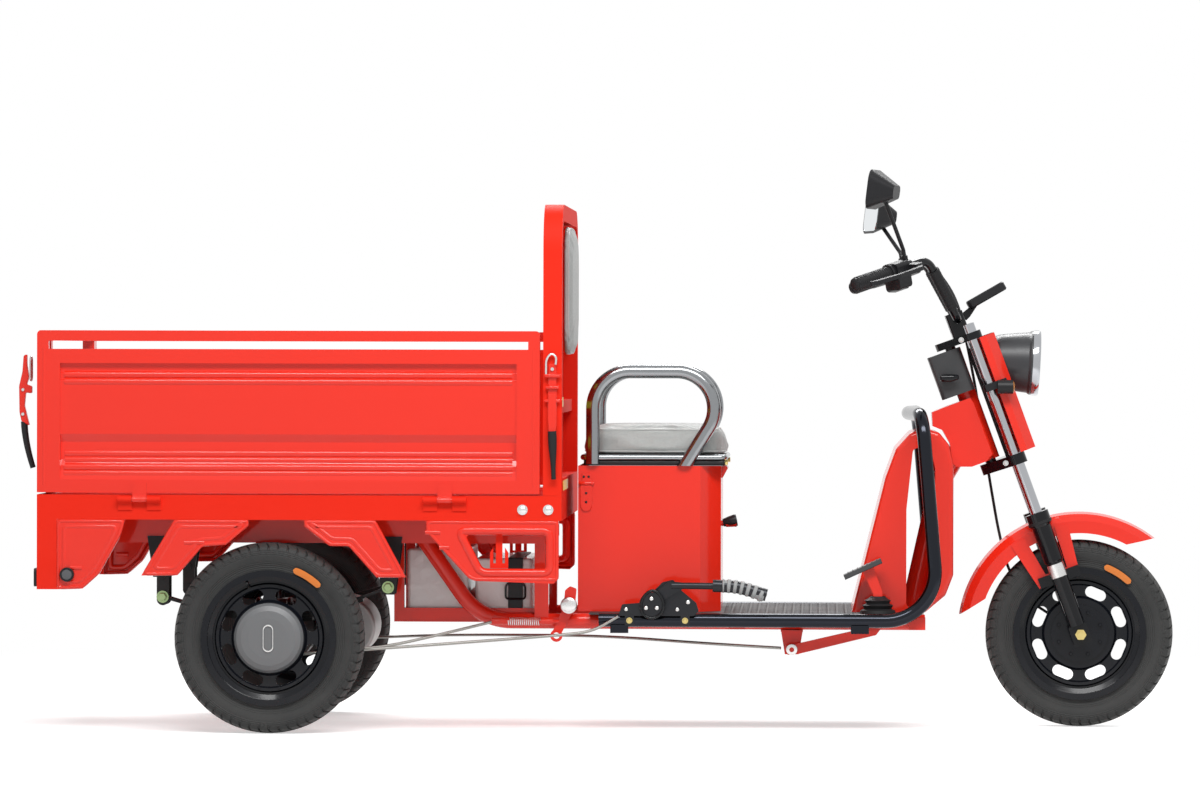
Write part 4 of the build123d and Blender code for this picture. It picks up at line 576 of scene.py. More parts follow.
def tread_tyre(centre, pitches=58, depth=0.0045):
    """Closed tyre: section rows carried round the axle, sunk by the groove depth where a groove passes."""
    half = half_section()
    rows = np.vstack([half, (half * [-1, 1, 1])[:0:-1]])
    across, radius, share = rows.T
    steps = np.array([0.0, 0.04, 0.20, 0.24, 0.37, 0.50, 0.54, 0.66, 0.70, 0.86])
    phase = (np.arange(pitches)[:, None] + steps).ravel() / pitches
    local = np.tile(steps, pitches)
    side_cut = ((local > 0.01) & (local < 0.22))[:, None]
    middle_cut = ((local > 0.51) & (local < 0.68))[:, None]
    reach = np.abs(across)[None, :]
    outer = reach > 0.0125
    rib = reach < 0.0088
    ring = (reach > 0.009) & (reach < 0.0126)
    groove = np.where(outer & side_cut, 1.0, 0.0) + np.where(rib & middle_cut & (reach > 0.003), 0.7, 0.0)
    groove = np.clip(groove + np.where(ring, 1.0, 0.0), 0, 1) * share[None, :]
    slant = np.sign(across) * np.clip(reach - 0.012, 0, 0.022) / 0.022 * 0.35 / pitches
    angle = 2 * pi * (phase[:, None] + slant + np.sign(across) * 0.25 / pitches)
    r = radius[None, :] - depth * groove
    points = np.stack([r * np.cos(angle), np.broadcast_to(across, r.shape), r * np.sin(angle)], -1) + centre
    return points.reshape(-1, 3), grid_faces(len(phase), len(rows), True, True)


def wall_blocks(centre, count=72):
    """Row of small raised blocks round both side walls, set into the wall at their own radius."""
    half = half_section()[12:23]
    radii = np.array([0.2035, 0.2045, 0.2125, 0.2135])
    across = np.interp(radii, half[::-1, 1], half[::-1, 0]) + np.array([-0.001, 0.0010, 0.0010, -0.001])
    angle = np.arange(count)[:, None] * 2 * pi / count + np.array([0.0, 0.02, 0.14, 0.16]) * 2 * pi / 12 / 2.2
    shapes = []
    for side in (-1, 1):
        r, a = radii[None, :, None], angle[:, None, :]
        y = np.broadcast_to(across[None, :, None], (count, 4, 4)).copy()
        y[:, :, [0, 3]] = np.minimum(y[:, :, [0, 3]], across.min())
        block = np.stack([r * np.cos(a), side * y, r * np.sin(a)], -1).reshape(count, 16, 3) + centre
        faces = (grid_faces(4, 4)[None] + 16 * np.arange(count)[:, None, None]).reshape(-1, 4)
        shapes.append((block.reshape(-1, 3), faces.tolist()))
    return join(*shapes)


for body, (centre, _) in wheels.items():
    node = body.replace("wheel", "tyre")
    tyre = put_mesh(node + "_tread", *tread_tyre(centre), tyre_finish[body], body, "tyre_rubber")
    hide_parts(node)
    put_mesh(node + "_blocks", *wall_blocks(centre), tyre_finish[body], body, "tyre_rubber")
print("tyre faces", len(tyre.data.polygons))

# %% [markdown]
# Each tyre still carries the shop's sticker: a blank orange strip that bends with the side wall. A strip is a
# small grid in polar coordinates, lifted a third of a millimetre off the rubber.

# %% Blank stickers, valves and wheel details
def wall_strip(centre, outward, radius, height, start, end, across):
    """Strip on a side wall: angles from start to end, radii round a middle value, rounded at both ends."""
    u, v = np.meshgrid(np.linspace(-1, 1, 25), np.linspace(-1, 1, 5), indexing="ij")
    narrow = np.sqrt(np.clip(1 - np.clip(np.abs(u) * 1.08 - 0.08, 0, 1) ** 10, 0.02, 1))
    angle = (start + end) / 2 + (end - start) / 2 * u
    r = radius + height / 2 * v * narrow
    lift = across + 0.0006 * np.cos(v * pi / 2)
    points = np.stack([r * np.cos(angle), outward * lift * np.ones_like(r), r * np.sin(angle)], -1) + centre
    return points.reshape(-1, 3), grid_faces(25, 5)


valve_angle = radians(112)
valve_profile = [(0, 0), (0, 0.0045), (0.012, 0.004), (0.013, 0.0028), (0.026, 0.0028), (0.026, 0.004),
                 (0.033, 0.0036), (0.034, 0)]
for body, (centre, outward) in wheels.items():
    strip = wall_strip(centre, outward, 0.176, 0.016, radians(45), radians(70), 0.0394)
    put_mesh(body + "_label", *strip, orange_film, body, "amber")
    outwards = np.array([cos(valve_angle), 0.0, sin(valve_angle)])
    lean = outwards * 0.5 + [0.0, outward * 0.85, 0.0]
    stem = turned(valve_profile, centre + 0.126 * outwards + [0.0, outward * 0.006, 0.0], lean, 14)
    put_mesh(body + "_valve", *stem, black_rubber, body, "black_rubber")


def hex_bolt(size, height, washer=1.35):
    """Bolt head on a washer, pointing up z: six-sided prism with a chamfered top."""
    low = 0.12 * height

    def stack(sides, layers):
        """Rings of (radius, z) with the given number of sides, closed on top."""
        angle = np.arange(sides) * 2 * pi / sides
        ring = np.stack([np.cos(angle), np.sin(angle)], 1)
        points = np.vstack([np.column_stack([ring * radius, np.full(sides, z)]) for radius, z in layers])
        top = list(range(len(points) - sides, len(points)))
        return points, grid_faces(len(layers), sides, wrap_cols=True).tolist() + [top]

    disc = [(size * washer / 2, -0.0005), (size * washer / 2, low)]
    head = [(size / 2, low), (size / 2, height * 0.86), (size * 0.42, height)]
    return join(stack(18, disc), stack(6, head))


def bolts(name, places, size, height, material, body, slot):
    """Bolt heads at (point, direction) places as one mesh."""
    spots = [place_at(point, direction) for point, direction in places]
    put_mesh(name, *copies(*hex_bolt(size, height), spots), material, body, slot, fix_normals=False)


def circle_places(centre, outward, radius, count, depth, turn=0.0):
    """Places on a circle round an axle, facing outwards."""
    angle = turn + np.arange(count) * 2 * pi / count
    spots = centre + np.stack([radius * np.cos(angle), np.full(count, outward * depth), radius * np.sin(angle)], 1)
    return [(spot, (0.0, outward, 0.0)) for spot in spots]


for body in ("rear_left_wheel", "rear_right_wheel"):
    centre, outward = wheels[body]
    bolts(body + "_rivets", circle_places(centre, outward, 0.1245, 16, 0.0155, pi / 16), 0.006, 0.003,
          wheel_enamel, body, "wheel_black")
hub_ring = circle_places(front_axle, -1, 0.055, 8, 0.0285, pi / 8)
bolts("front_hub_bolts", hub_ring, 0.010, 0.006, wheel_enamel, "front_wheel", "wheel_black")


def stadium(length, width, count=48):
    """Closed outline of a slot shape standing upright: two half circles joined by straight sides."""
    angle = np.linspace(0, 2 * pi, count, endpoint=False) + pi / count
    half = (length - width) / 2
    return np.stack([width / 2 * np.cos(angle), width / 2 * np.sin(angle) + half * np.sign(np.sin(angle))], 1)


for body in ("rear_left_wheel", "rear_right_wheel"):
    centre, outward = wheels[body]
    path = centre + at_side(stadium(0.0625, 0.0235), outward * 0.0458)
    away = unit(path - path.mean(0))
    rim = (path[:, None] + circle(away * 0.0022, np.array([[0.0, outward * 0.0013, 0.0]]), 8)).reshape(-1, 3)
    put_mesh(body + "_cap_ring", rim, grid_faces(len(path), 8, True, True), bright_zinc, body, "cap_grey")

# %% [markdown]
# ## Seat and backrest cushions
# The seat is foam on a board, covered in grey vinyl with a piped seam round its top and bottom edges. Foam
# under a tight cover swells between its seams, which is what a short cloth simulation with a little air
# pressure gives. Each pad starts a few millimetres smaller than the space that its CAD solid holds; its flat
# back is pinned, because it sits on a board; and no point may move further than a set cap.

# %% Pads by cloth simulation
def squared_ring(half_a, half_b, count=72, power=5.5):
    """Closed superellipse: |a/half_a|^power + |b/half_b|^power = 1."""
    angle = np.linspace(0, 2 * pi, count, endpoint=False)
    c, s = np.cos(angle), np.sin(angle)
    return np.stack([half_a * np.sign(c) * np.abs(c) ** (2 / power),
                     half_b * np.sign(s) * np.abs(s) ** (2 / power)], 1)


def pad_shell(half_a, half_b, thick, crown):
    """Closed pad lying on its flat back: rings that step in over the rounded edge, then a crowned face.

    Returns points with the thickness along the third direction, and faces.
    """
    edge = [(0.0, 0.010), (0.0, 0.002), (0.12, 0.0), (0.70, 0.0), (0.88, 0.004), (0.97, 0.012), (1.0, 0.024)]
    layers = [(half_a - step, half_b - step, height * thick) for height, step in edge]
    layers += [((half_a - 0.024) * share, (half_b - 0.024) * share, thick + crown * (1 - share ** 2))
               for share in (0.75, 0.5, 0.25)]
    around = 72
    rings = [np.column_stack([squared_ring(a, b, around), np.full(around, height)]) for a, b, height in layers]
    points = np.vstack([*rings, [[0, 0, 0], [0, 0, thick + crown]]])
    faces = grid_faces(len(rings), around, wrap_cols=True).tolist()
    last = (len(rings) - 1) * around
    for a in range(around):
        b = (a + 1) % around
        faces += [[b, a, len(points) - 2], [last + a, last + b, len(points) - 1]]
    return points, faces


def positions(mesh):
    """A mesh's points as an array."""
    flat = np.empty(len(mesh.vertices) * 3)
    mesh.vertices.foreach_get("co", flat)
    return flat.reshape(-1, 3)


def swell(obj, pinned, cap, pressure=4.0, frames=20):
    """Voxel remesh, then cloth with air pressure; pinned tells which points stay; moves are capped."""
    remesh = obj.modifiers.new("remesh", "REMESH")
    remesh.mode = "VOXEL"
    remesh.voxel_size = 0.006
    flat = bpy.data.meshes.new_from_object(obj.evaluated_get(bpy.context.evaluated_depsgraph_get()))
    obj.modifiers.clear()
    old = obj.data
    obj.data = flat
    bpy.data.meshes.remove(old)
    start = positions(flat)
    group = obj.vertex_groups.new(name="board")
    group.add(np.flatnonzero(pinned(start)).tolist(), 1.0, "REPLACE")
    cloth = obj.modifiers.new("cloth", "CLOTH")
    settings = cloth.settings
    settings.vertex_group_mass = "board"
    settings.use_pressure = True
    settings.uniform_pressure_force = pressure
    settings.tension_stiffness = settings.compression_stiffness = 25
    settings.shear_stiffness = 15
    settings.bending_stiffness = 4
    settings.effector_weights.gravity = 0.0
    for step in range(1, frames + 1):
        bpy.context.scene.frame_set(step)
    swollen = bpy.data.meshes.new_from_object(obj.evaluated_get(bpy.context.evaluated_depsgraph_get()))
    move = positions(swollen) - start
    length = np.linalg.norm(move, axis=1)
    move *= np.minimum(1.0, cap / np.maximum(length, 1e-9))[:, None]
    obj.modifiers.clear()
    obj.vertex_groups.clear()
    flat.vertices.foreach_set("co", (start + move).ravel())
    flat.update()
    bpy.data.meshes.remove(swollen)
    bpy.context.scene.frame_set(1)
    print(obj.name, "points", len(start), "largest move mm", round(float(length.max()) * 1000, 1))
    flat.polygons.foreach_set("use_smooth", [True] * len(flat.polygons))
    subdivide = obj.modifiers.new("subdivide", "SUBSURF")
    subdivide.levels = subdivide.render_levels = 1


def loop_tube(path, radius, normal, around=8):
    """Circle carried round a closed path; normal is the direction across the loop's plane."""
    ahead = unit(np.roll(path, -1, 0) - np.roll(path, 1, 0))
    side = unit(np.cross(ahead, normal))
    ring = circle(side, np.cross(side, ahead), around)
    return (path[:, None] + radius * ring).reshape(-1, 3), grid_faces(len(path), around, True, True)


def piping(pad, place, half_a, half_b, height, radius=0.0022):
    """Cord round a pad at a height above its back: rays shot inwards find the vinyl, the cord lies on it."""
    bpy.context.view_layer.update()
    tree = BVHTree.FromObject(pad, bpy.context.evaluated_depsgraph_get())
    path = []
    for a, b in squared_ring(half_a, half_b, 120):
        away = place[:3, 0] * a * 1.3 + place[:3, 1] * b * 1.3
        level = place[:3, 3] + place[:3, 2] * height
        hit = tree.ray_cast(Vector(level + away), Vector(-away).normalized())
        path.append(np.array(hit[0]) if hit[0] is not None else level + away / 1.3)
    for _ in range(2):
        path = (np.roll(path, 1, 0) + path + np.roll(path, -1, 0)) / 3
    return loop_tube(path, radius, place[:3, 2])


def make_pad(name, node, place, half_a, half_b, thick, crown, cap, body, seams):
    """One cushion in the place of a CAD solid, with its piping."""
    back, away = place[:3, 3], place[:3, 2]
    points, faces = pad_shell(half_a, half_b, thick, crown)
    pad = put_mesh(name, points @ place[:3, :3].T + back, faces, seat_vinyl, body, "grey_vinyl")
    swell(pad, lambda p: (p - back) @ away < 0.004, cap)
    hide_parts(node)
    shapes = [piping(pad, place, half_a, half_b, height) for height in seams]
    put_mesh(name + "_piping", *join(*shapes), piping_vinyl, body, "grey_vinyl")


seat_low, seat_high = (np.array(v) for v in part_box("seat_cushion"))
seat_size = seat_high - seat_low
seat_place = np.eye(4)
seat_place[:3, 3] = [*((seat_low + seat_high) / 2)[:2], seat_low[2] + 0.0003]
make_pad("seat_pad", "seat_cushion", seat_place, seat_size[0] / 2 - 0.004, seat_size[1] / 2 - 0.004,
         seat_size[2] - 0.012, 0.004, 0.007, "seat", (0.007, seat_size[2] - 0.016))
back_low, back_high = (np.array(v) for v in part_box("backrest_cushion"))
back_size = back_high - back_low
back_place = place_at([back_low[0] + 0.0003, 0.0, (back_low[2] + back_high[2]) / 2], (1, 0, 0), (0, 1, 0))
make_pad("backrest_pad", "backrest_cushion", back_place, back_size[1] / 2 - 0.003, back_size[2] / 2 - 0.003,
         back_size[0] - 0.004, 0.004, 0.006, "chassis", (back_size[0] - 0.008,))

# %% [markdown]
# ## Pressings, bolts and latches of the load bed
# Sheet panels are stiffened by ridges pressed into them, and their cut edges are rolled, which is where the
# paint catches the light. A ridge is a round bar sunk into the sheet until only a sliver stands proud.

# %% Finding a surface, and rounded outlines
def touch(node, start, direction):
    """First point of a CAD node met by a ray, or None."""
    tree = BVHTree.FromObject(nodes[node], bpy.context.evaluated_depsgraph_get())
    hit = tree.ray_cast(Vector(start), Vector(direction))[0]
    return None if hit is None else np.array(hit)


def rounded(points, radius, closed=True, steps=5):
    """Outline with each corner swapped for a quadratic curve between points `radius` before and after it."""
    points = np.asarray(points, float)
    ends = []
    for way in (np.roll(points, 1, 0) - points, np.roll(points, -1, 0) - points):
        ends.append(points + unit(way) * np.minimum(radius, np.linalg.norm(way, axis=1)[:, None] * 0.45))
    a, c = ends
    t = np.linspace(0, 1, steps)[None, :, None]
    curve = (1 - t) ** 2 * a[:, None] + 2 * t * (1 - t) * points[:, None] + t ** 2 * c[:, None]
    if closed:
        return curve.reshape(-1, points.shape[1])
    return np.vstack([points[:1], curve[1:-1].reshape(-1, points.shape[1]), points[-1:]])


def inset(outline, distance):
    """Closed outline moved inwards by a distance, corner by corner, along the mean of its two edge normals."""
    outline = np.asarray(outline, float)
    ahead = unit(np.roll(outline, -1, 0) - outline)
    area = np.sum(outline[:, 0] * np.roll(outline[:, 1], -1) - np.roll(outline[:, 0], -1) * outline[:, 1])
    normal = np.stack([-ahead[:, 1], ahead[:, 0]], 1) * np.sign(area)
    both = normal + np.roll(normal, 1, 0)
    both /= np.sum(both * normal, axis=1)[:, None]
    return outline + distance * both


def ridge(outline, side, skin, radius, proud, closed=True):
    """Round bar along an (x, z) outline on a side face, standing `proud` of the skin."""
    path = at_side(outline, side * (skin + proud - radius))
    return loop_tube(path, radius, (0, 1, 0), 10) if closed else tube(path, radius, 10)


def prism(outline, low, high, bevel=0.0015):
    """Closed (a, b) outline carried from low to high along the third direction, edges bevelled."""
    smaller = inset(outline, bevel)
    rings = [(smaller, low), (outline, low + bevel), (outline, high - bevel), (smaller, high)]
    points = np.vstack([np.column_stack([ring, np.full(len(ring), height)]) for ring, height in rings])
    count = len(outline)
    faces = grid_faces(4, count, wrap_cols=True).tolist()
    faces += [list(range(count))[::-1], list(range(3 * count, 4 * count))]
    return points, faces


def upright(shape, side, face=0.0):
    """Shape given as (x, z, distance outwards) stood on a face at y, on the right (-1) or left (1) side."""
    points, faces = shape
    return np.stack([points[:, 0], face + side * points[:, 2], points[:, 1]], 1), faces


def along_x(shape, x, side=1.0, y=0.0):
    """Shape given as (y, z, distance) stood on a plane at x, or as (distance behind x, z, y) when side is -1."""
    points, faces = shape
    if side < 0:
        return np.stack([x - points[:, 0], y + points[:, 2], points[:, 1]], 1), faces
    return np.stack([x + points[:, 2], points[:, 0], points[:, 1]], 1), faces


# %% [markdown]
# The four skirt panels on each side have rolled edges and a ridge just inside them; the front one has a broad
# pressed frame round its window.

# %% Skirt pressings
side_face = -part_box("skirt_panels")[0].y
arch_front, guard_front, rail_low = -0.710, -0.097, 0.5168
corner_x, arch_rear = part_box("skirt_panels")[0].x, -1.024


def ahead_of_arch(share):
    """x at a share of the way from the wheel arch to the front end of the guards."""
    return arch_front + (guard_front - arch_front) * share


def behind_arch(share):
    """x at a share of the way from the rear corner to the wheel arch."""
    return corner_x + (arch_rear - corner_x) * share


rear_x = float(wheels["rear_right_wheel"][0][0])
corner_panel = [(corner_x, rail_low), (behind_arch(0.58), rail_low), (behind_arch(0.54), 0.478),
                (behind_arch(0.36), 0.386), (behind_arch(0.22), 0.350), (corner_x, 0.348)]
rear_panel = [(arch_rear, rail_low), (rear_x - 0.047, rail_low), (rear_x - 0.047, 0.503), (rear_x - 0.101, 0.457),
              (rear_x - 0.158, 0.453), (arch_rear + 0.007, 0.383), (behind_arch(0.72), 0.382)]
front_panel_edge = [(arch_front, rail_low), (ahead_of_arch(0.28), rail_low), (ahead_of_arch(0.40), 0.380),
                    (ahead_of_arch(0.285), 0.380), (ahead_of_arch(0.175), 0.455), (ahead_of_arch(0.1), 0.455),
                    (arch_front, 0.502)]
guard_edge = [(ahead_of_arch(0.48), rail_low), (guard_front, rail_low), (guard_front, 0.372),
              (ahead_of_arch(0.675), 0.372), (ahead_of_arch(0.648), 0.378), (ahead_of_arch(0.48), 0.490)]
window_edge = [(ahead_of_arch(0.63), 0.484), (guard_front - 0.030, 0.484), (guard_front - 0.030, 0.400),
               (ahead_of_arch(0.7), 0.400)]
short_pressings = [(-1.262, 0.400, 0.015), (-0.975, 0.462, 0.024), (-0.400, 0.488, 0.018), (-0.372, 0.452, 0.012)]
for side, side_name in ((-1, "right"), (1, "left")):
    shapes = []
    for edge in (corner_panel, rear_panel, front_panel_edge, guard_edge):
        shapes.append(ridge(rounded(inset(edge, 0.0040), 0.008), side, side_face, 0.0048, 0.0020))
    for edge in (corner_panel, rear_panel, front_panel_edge):
        shapes.append(ridge(rounded(inset(edge, 0.0170), 0.010), side, side_face, 0.007, 0.0020))
    shapes.append(ridge(rounded(inset(window_edge, -0.009), 0.018), side, side_face, 0.0110, 0.0050))
    for x, z, half in short_pressings:
        shapes.append(ridge([(x - half, z), (x, z), (x + half, z)], side, side_face, 0.006, 0.0030, False))
    put_mesh("skirt_pressings_" + side_name, *join(*shapes), red_enamel, "chassis", "red_paint")

# %% [markdown]
# Each drop gate has ridges along its sheet, above and below the wide plain band, and round welded corners on
# its frame. The ridges ride on the gate and swing down with it.

# %% Gate ridges
gate_lines = [(0.866, 0.0035), (0.849, 0.003), (0.676, 0.003), (0.660, 0.0045), (0.643, 0.0045), (0.628, 0.003)]
for side, side_name in ((-1, "right"), (1, "left")):
    node = "side_gate_" + side_name
    low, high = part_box(node)
    shapes = []
    for z, proud in gate_lines:
        skin = touch(node, (-0.75, side * 0.7, z), (0, -side, 0))
        path = [(low.x + 0.066, z), (-0.75, z), (high.x - 0.066, z)]
        shapes.append(ridge(path, side, abs(skin[1]), 0.010, proud, False))
    for x in (low.x + 0.016, high.x - 0.016):
        skin = touch(node, (x, side * 0.7, 0.75), (0, -side, 0))
        shapes.append(ridge([(x, 0.60), (x, 0.75), (x, 0.93)], side, abs(skin[1]), 0.005, 0.0012, False))
    put_mesh("gate_ridges_" + side_name, *join(*shapes), red_enamel, side_name + "_side_gate", "red_paint")
tail_shapes = []
for z in (0.862, 0.848, 0.672, 0.657, 0.643):
    x = touch("tailgate", (-1.8, 0.05, z), (1, 0, 0))[0] + 0.0028
    tail_shapes.append(tube([(x, y, z) for y in (-0.345, 0.0, 0.345)], 0.005, 10))
put_mesh("gate_ridges_tail", *join(*tail_shapes), red_enamel, "tail_board", "red_paint")

# %% [markdown]
# Capped bolts hold the headboard posts to the side rail, and a round reflector sits low at each rear corner.
# Both are turned shapes: a profile of (distance out, radius) carried round its axis.

# %% Rail bolts and reflectors
cap = [(-0.001, 0.0), (-0.001, 0.0125), (0.0015, 0.0125), (0.0018, 0.0095), (0.006, 0.009), (0.0085, 0.006),
       (0.0092, 0.0)]
bezel = [(-0.003, 0.0172), (0.0012, 0.0172), (0.0028, 0.0158), (0.0028, 0.0138), (0.0006, 0.0128), (-0.002, 0.0128)]
disc = [(-0.001, 0.0127), (0.0008, 0.0125), (0.0016, 0.008), (0.0019, 0.0)]
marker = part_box("side_markers")
white_caps, lens_discs, bezels = [], [], []
for side in (-1, 1):
    for x in (-0.184, -0.122):
        white_caps.append(turned(cap, (x, side * side_face, 0.5435), (0, side, 0), 24))
    spot = (marker[0].x + 0.082, side * marker[1].y, 0.384)
    bezels.append(turned(bezel, spot, (0, side, 0), 36, close=True))
    lens_discs.append(turned(disc, spot, (0, side, 0), 30))
put_mesh("rail_bolts", *join(*white_caps), bright_zinc, "chassis", "zinc")
put_mesh("reflector_rims", *join(*bezels), black_plastic, "chassis", "black_plastic")
put_mesh("reflector_lenses", *join(*lens_discs), grey_rubber, "chassis", "black_plastic")

# %% [markdown]
# A latch at each end of a side gate: a sprung wire loop hooks over a keeper, a red lever on two pins pulls it
# tight, and a black sleeve covers the lever's end. The tail latches are the same part seen from its edge.

# %% Latches
post_x = middle("front_latches")[0]
keel = [(-0.010, 0.742), (0.010, 0.742), (0.011, 0.800), (0.009, 0.895), (-0.009, 0.895), (-0.011, 0.800)]
lever = [(-0.0085, 0.728), (0.0085, 0.728), (0.0105, 0.765), (0.0095, 0.822), (-0.0095, 0.822), (-0.0105, 0.765)]
peg = [(0, 0.0), (0.003, 0.0045), (0.0045, 0.004), (0.005, 0.0)]
hook_line = [(-0.015, 0.866), (-0.015, 0.905), (-0.003, 0.921), (0.010, 0.912), (0.008, 0.893)]
bar_radii = [0.0035, 0.0048, 0.0048, 0.0035]
red_parts, black_parts, zinc_parts = [], [], []
for side in (-1, 1):
    base = side_face + 0.0006
    for outline, radius, low, high in ((keel, 0.005, base, base + 0.005), (lever, 0.004, base + 0.006, base + 0.014)):
        red_parts.append(upright(prism(rounded(outline, radius) + [post_x, 0.0], low, high), side))
    for z, half in ((0.866, 0.019), (0.838, 0.016), (0.806, 0.019)):
        bar = [(post_x + x, side * (base + 0.008), z) for x in (-half, 0.002 - half, half - 0.002, half)]
        red_parts.append(tube(bar, bar_radii, 14))
    t = np.linspace(0, 1, 9)
    grip = np.stack([post_x + 0.004 * t, side * (base + 0.011 - 0.002 * np.sin(pi * t)), 0.733 - 0.116 * t], 1)
    black_parts.append(tube(grip, 0.0102 - 0.0042 * t + 0.0012 * np.sin(6 * t), 16))
    hook = rounded(hook_line, 0.010, False) + [post_x, 0.0]
    zinc_parts.append(tube(at_side(hook, side * (base + 0.0085)), 0.0028, 10))
    zinc_parts.append(turned(peg, (post_x, side * (base + 0.0045), 0.882), (0, side, 0), 14))
latch_red = put_mesh("front_latch_levers", *join(*red_parts), red_enamel, "chassis", "red_paint")
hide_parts("front_latches")
put_mesh("front_latch_grips", *join(*black_parts), black_rubber, "chassis", "black_rubber")
put_mesh("front_latch_loops", *join(*zinc_parts), bright_zinc, "chassis", "zinc")

tail_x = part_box("tailgate")[0].x
red_parts, black_parts, zinc_parts = [], [], []
tail_lever = rounded([(0.007, 0.742), (0.026, 0.752), (0.031, 0.775), (0.032, 0.838), (0.024, 0.872), (0.021, 0.912),
                      (0.013, 0.915), (0.013, 0.890), (0.008, 0.858), (0.014, 0.842), (0.001, 0.838), (0.001, 0.820),
                      (0.016, 0.822), (0.019, 0.790)], 0.004)
pin = [(-0.0115, 0.0), (-0.0115, 0.0035), (-0.0095, 0.005), (0.0095, 0.005), (0.0115, 0.0035), (0.0115, 0.0)]
for y_middle in (-0.397, 0.397):
    red_parts.append(along_x(prism(tail_lever, -0.0085, 0.0085), tail_x - 0.002, -1, y_middle))
    t = np.linspace(0, 1, 10)
    grip_line = np.stack([tail_x - 0.022 + 0.0215 * t ** 1.7, np.full(10, y_middle), 0.752 - 0.112 * t], 1)
    black_parts.append(tube(grip_line, 0.0085 - 0.0018 * t, 14))
    ring = stadium(0.058, 0.026, 32)
    ring = np.stack([np.full(32, tail_x - 0.0055), y_middle + ring[:, 0], 0.880 + ring[:, 1]], 1)
    zinc_parts.append(loop_tube(ring, 0.0028, (1, 0, 0)))
    for z in (0.829, 0.770):
        zinc_parts.append(turned(pin, (tail_x - 0.024, y_middle, z), (0, 1, 0), 14))
tail_red = put_mesh("tail_latch_levers", *join(*red_parts), red_enamel, "tail_board", "red_paint")
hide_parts("tail_latches")
put_mesh("tail_latch_grips", *join(*black_parts), black_rubber, "tail_board", "black_rubber")
put_mesh("tail_latch_loops", *join(*zinc_parts), bright_zinc, "tail_board", "zinc")

# %% [markdown]
# The stickers on the front of the headboard are left blank: strips of yellow film.

# %% Blank stickers on the headboard
sticker_shapes = []
for z, y_from, y_to in ((0.905, -0.36, -0.20), (0.800, -0.37, -0.10), (0.700, -0.36, -0.22), (0.600, -0.38, -0.12)):
    spot = touch("headboard", (0.3, (y_from + y_to) / 2, z), (-1, 0, 0))
    outline = rounded([(y_from, z - 0.012), (y_to, z - 0.012), (y_to, z + 0.012), (y_from, z + 0.012)], 0.004)
    sticker_shapes.append(along_x(prism(outline, 0.0, 0.0007, 0.0003), spot[0] + 0.0002))
put_mesh("headboard_stickers", *join(*sticker_shapes), yellow_film, "chassis", "amber")
print("bed pieces done; stickers", len(sticker_shapes))

# %% [markdown]
# ## Foot well and controls
# The hand brake bolts to the tube beside the floor: a black cam with bright studs, and a ribbed grey sleeve on
# the lever. The sleeve is a tube whose radius follows a row of ribs. The parking lever has a domed cap on its
# pivot and a return spring, which is a thin tube carried along a helix.

# %% Ribbed sleeves and springs
def ribbed(start, end, bend, radius, ribs, depth, around=20, count=200):
    """Sleeve along a quadratic curve start-bend-end; its radius drops between ribs and closes at both ends."""
    start, bend, end = (np.asarray(p, float) for p in (start, bend, end))
    t = np.linspace(0, 1, count)
    path = (1 - t)[:, None] ** 2 * start + 2 * (t * (1 - t))[:, None] * bend + t[:, None] ** 2 * end
    wave = np.clip(np.sin(2 * pi * ribs * t) * 3, -1, 1) * 0.5 - 0.5
    ends = np.minimum(1.0, np.minimum(t, 1 - t) * 22) ** 0.4
    return tube(path, np.maximum((radius + depth * wave) * ends, 0.0005), around)


def coil(start, end, radius, wire, turns, around=7):
    """Helix about the straight line from start to end, as a thin tube."""
    start, end = np.asarray(start, float), np.asarray(end, float)
    t = np.linspace(0, 1, int(turns * 18))
    ahead = (end - start) / np.linalg.norm(end - start)
    side = np.cross(ahead, [0.0, 0.3, 1.0])
    side /= np.linalg.norm(side)
    up = np.cross(ahead, side)
    turn = 2 * pi * turns * t
    path = start + t[:, None] * (end - start) + radius * (np.cos(turn)[:, None] * side + np.sin(turn)[:, None] * up)
    return tube(path, wire, around)


def dome(radius, height, skirt=0.001):
    """Profile of a shallow dome with a small straight skirt."""
    t = np.linspace(0, pi / 2, 7)
    curve = np.stack([skirt + height * np.sin(t), radius * np.cos(t)], 1)
    curve[-1, 1] = 0.0
    return [(-0.002, 0.0), (-0.002, radius), *map(tuple, curve)]


# %% Hand brake and parking lever
brake_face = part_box("hand_brake")[0].y
studs = []
for a in (radians(90), radians(210), radians(330)):
    spot = (0.124 + 0.015 * cos(a), brake_face + 0.0005, 0.312 + 0.015 * sin(a))
    studs.append(turned(dome(0.0052, 0.003), spot, (0, -1, 0), 16))
for x, z, radius in ((0.205, 0.344, 0.006), (0.212, 0.318, 0.0055), (0.062, 0.300, 0.005), (0.186, 0.300, 0.005)):
    spot = touch("hand_brake", (x, -0.6, z), (0, 1, 0))
    if spot is not None:
        studs.append(turned(dome(radius, 0.003), (x, spot[1] + 0.0005, z), (0, -1, 0), 16))
put_mesh("hand_brake_studs", *join(*studs), bright_zinc, "chassis", "zinc")
cam = rounded([(0.098, 0.292), (0.124, 0.276), (0.152, 0.292), (0.154, 0.326), (0.128, 0.352), (0.100, 0.330)], 0.018)
put_mesh("hand_brake_cam", *loop_tube(at_side(cam, brake_face + 0.0035), 0.0034, (0, 1, 0), 10), black_enamel,
         "chassis", "black_paint")
bolts("hand_brake_bolts", [((x, brake_face + 0.019, 0.273), (0, -1, 0)) for x in (0.070, 0.205)], 0.011, 0.006,
      yellow_zinc, "chassis", "zinc")
grip_y = brake_face + 0.015
sleeve = ribbed((0.292, grip_y, 0.358), (0.401, grip_y, 0.331), (0.345, grip_y, 0.359), 0.0168, 7, 0.0022)
put_mesh("hand_brake_grip", *sleeve, grip_grey, "chassis", "black_rubber")

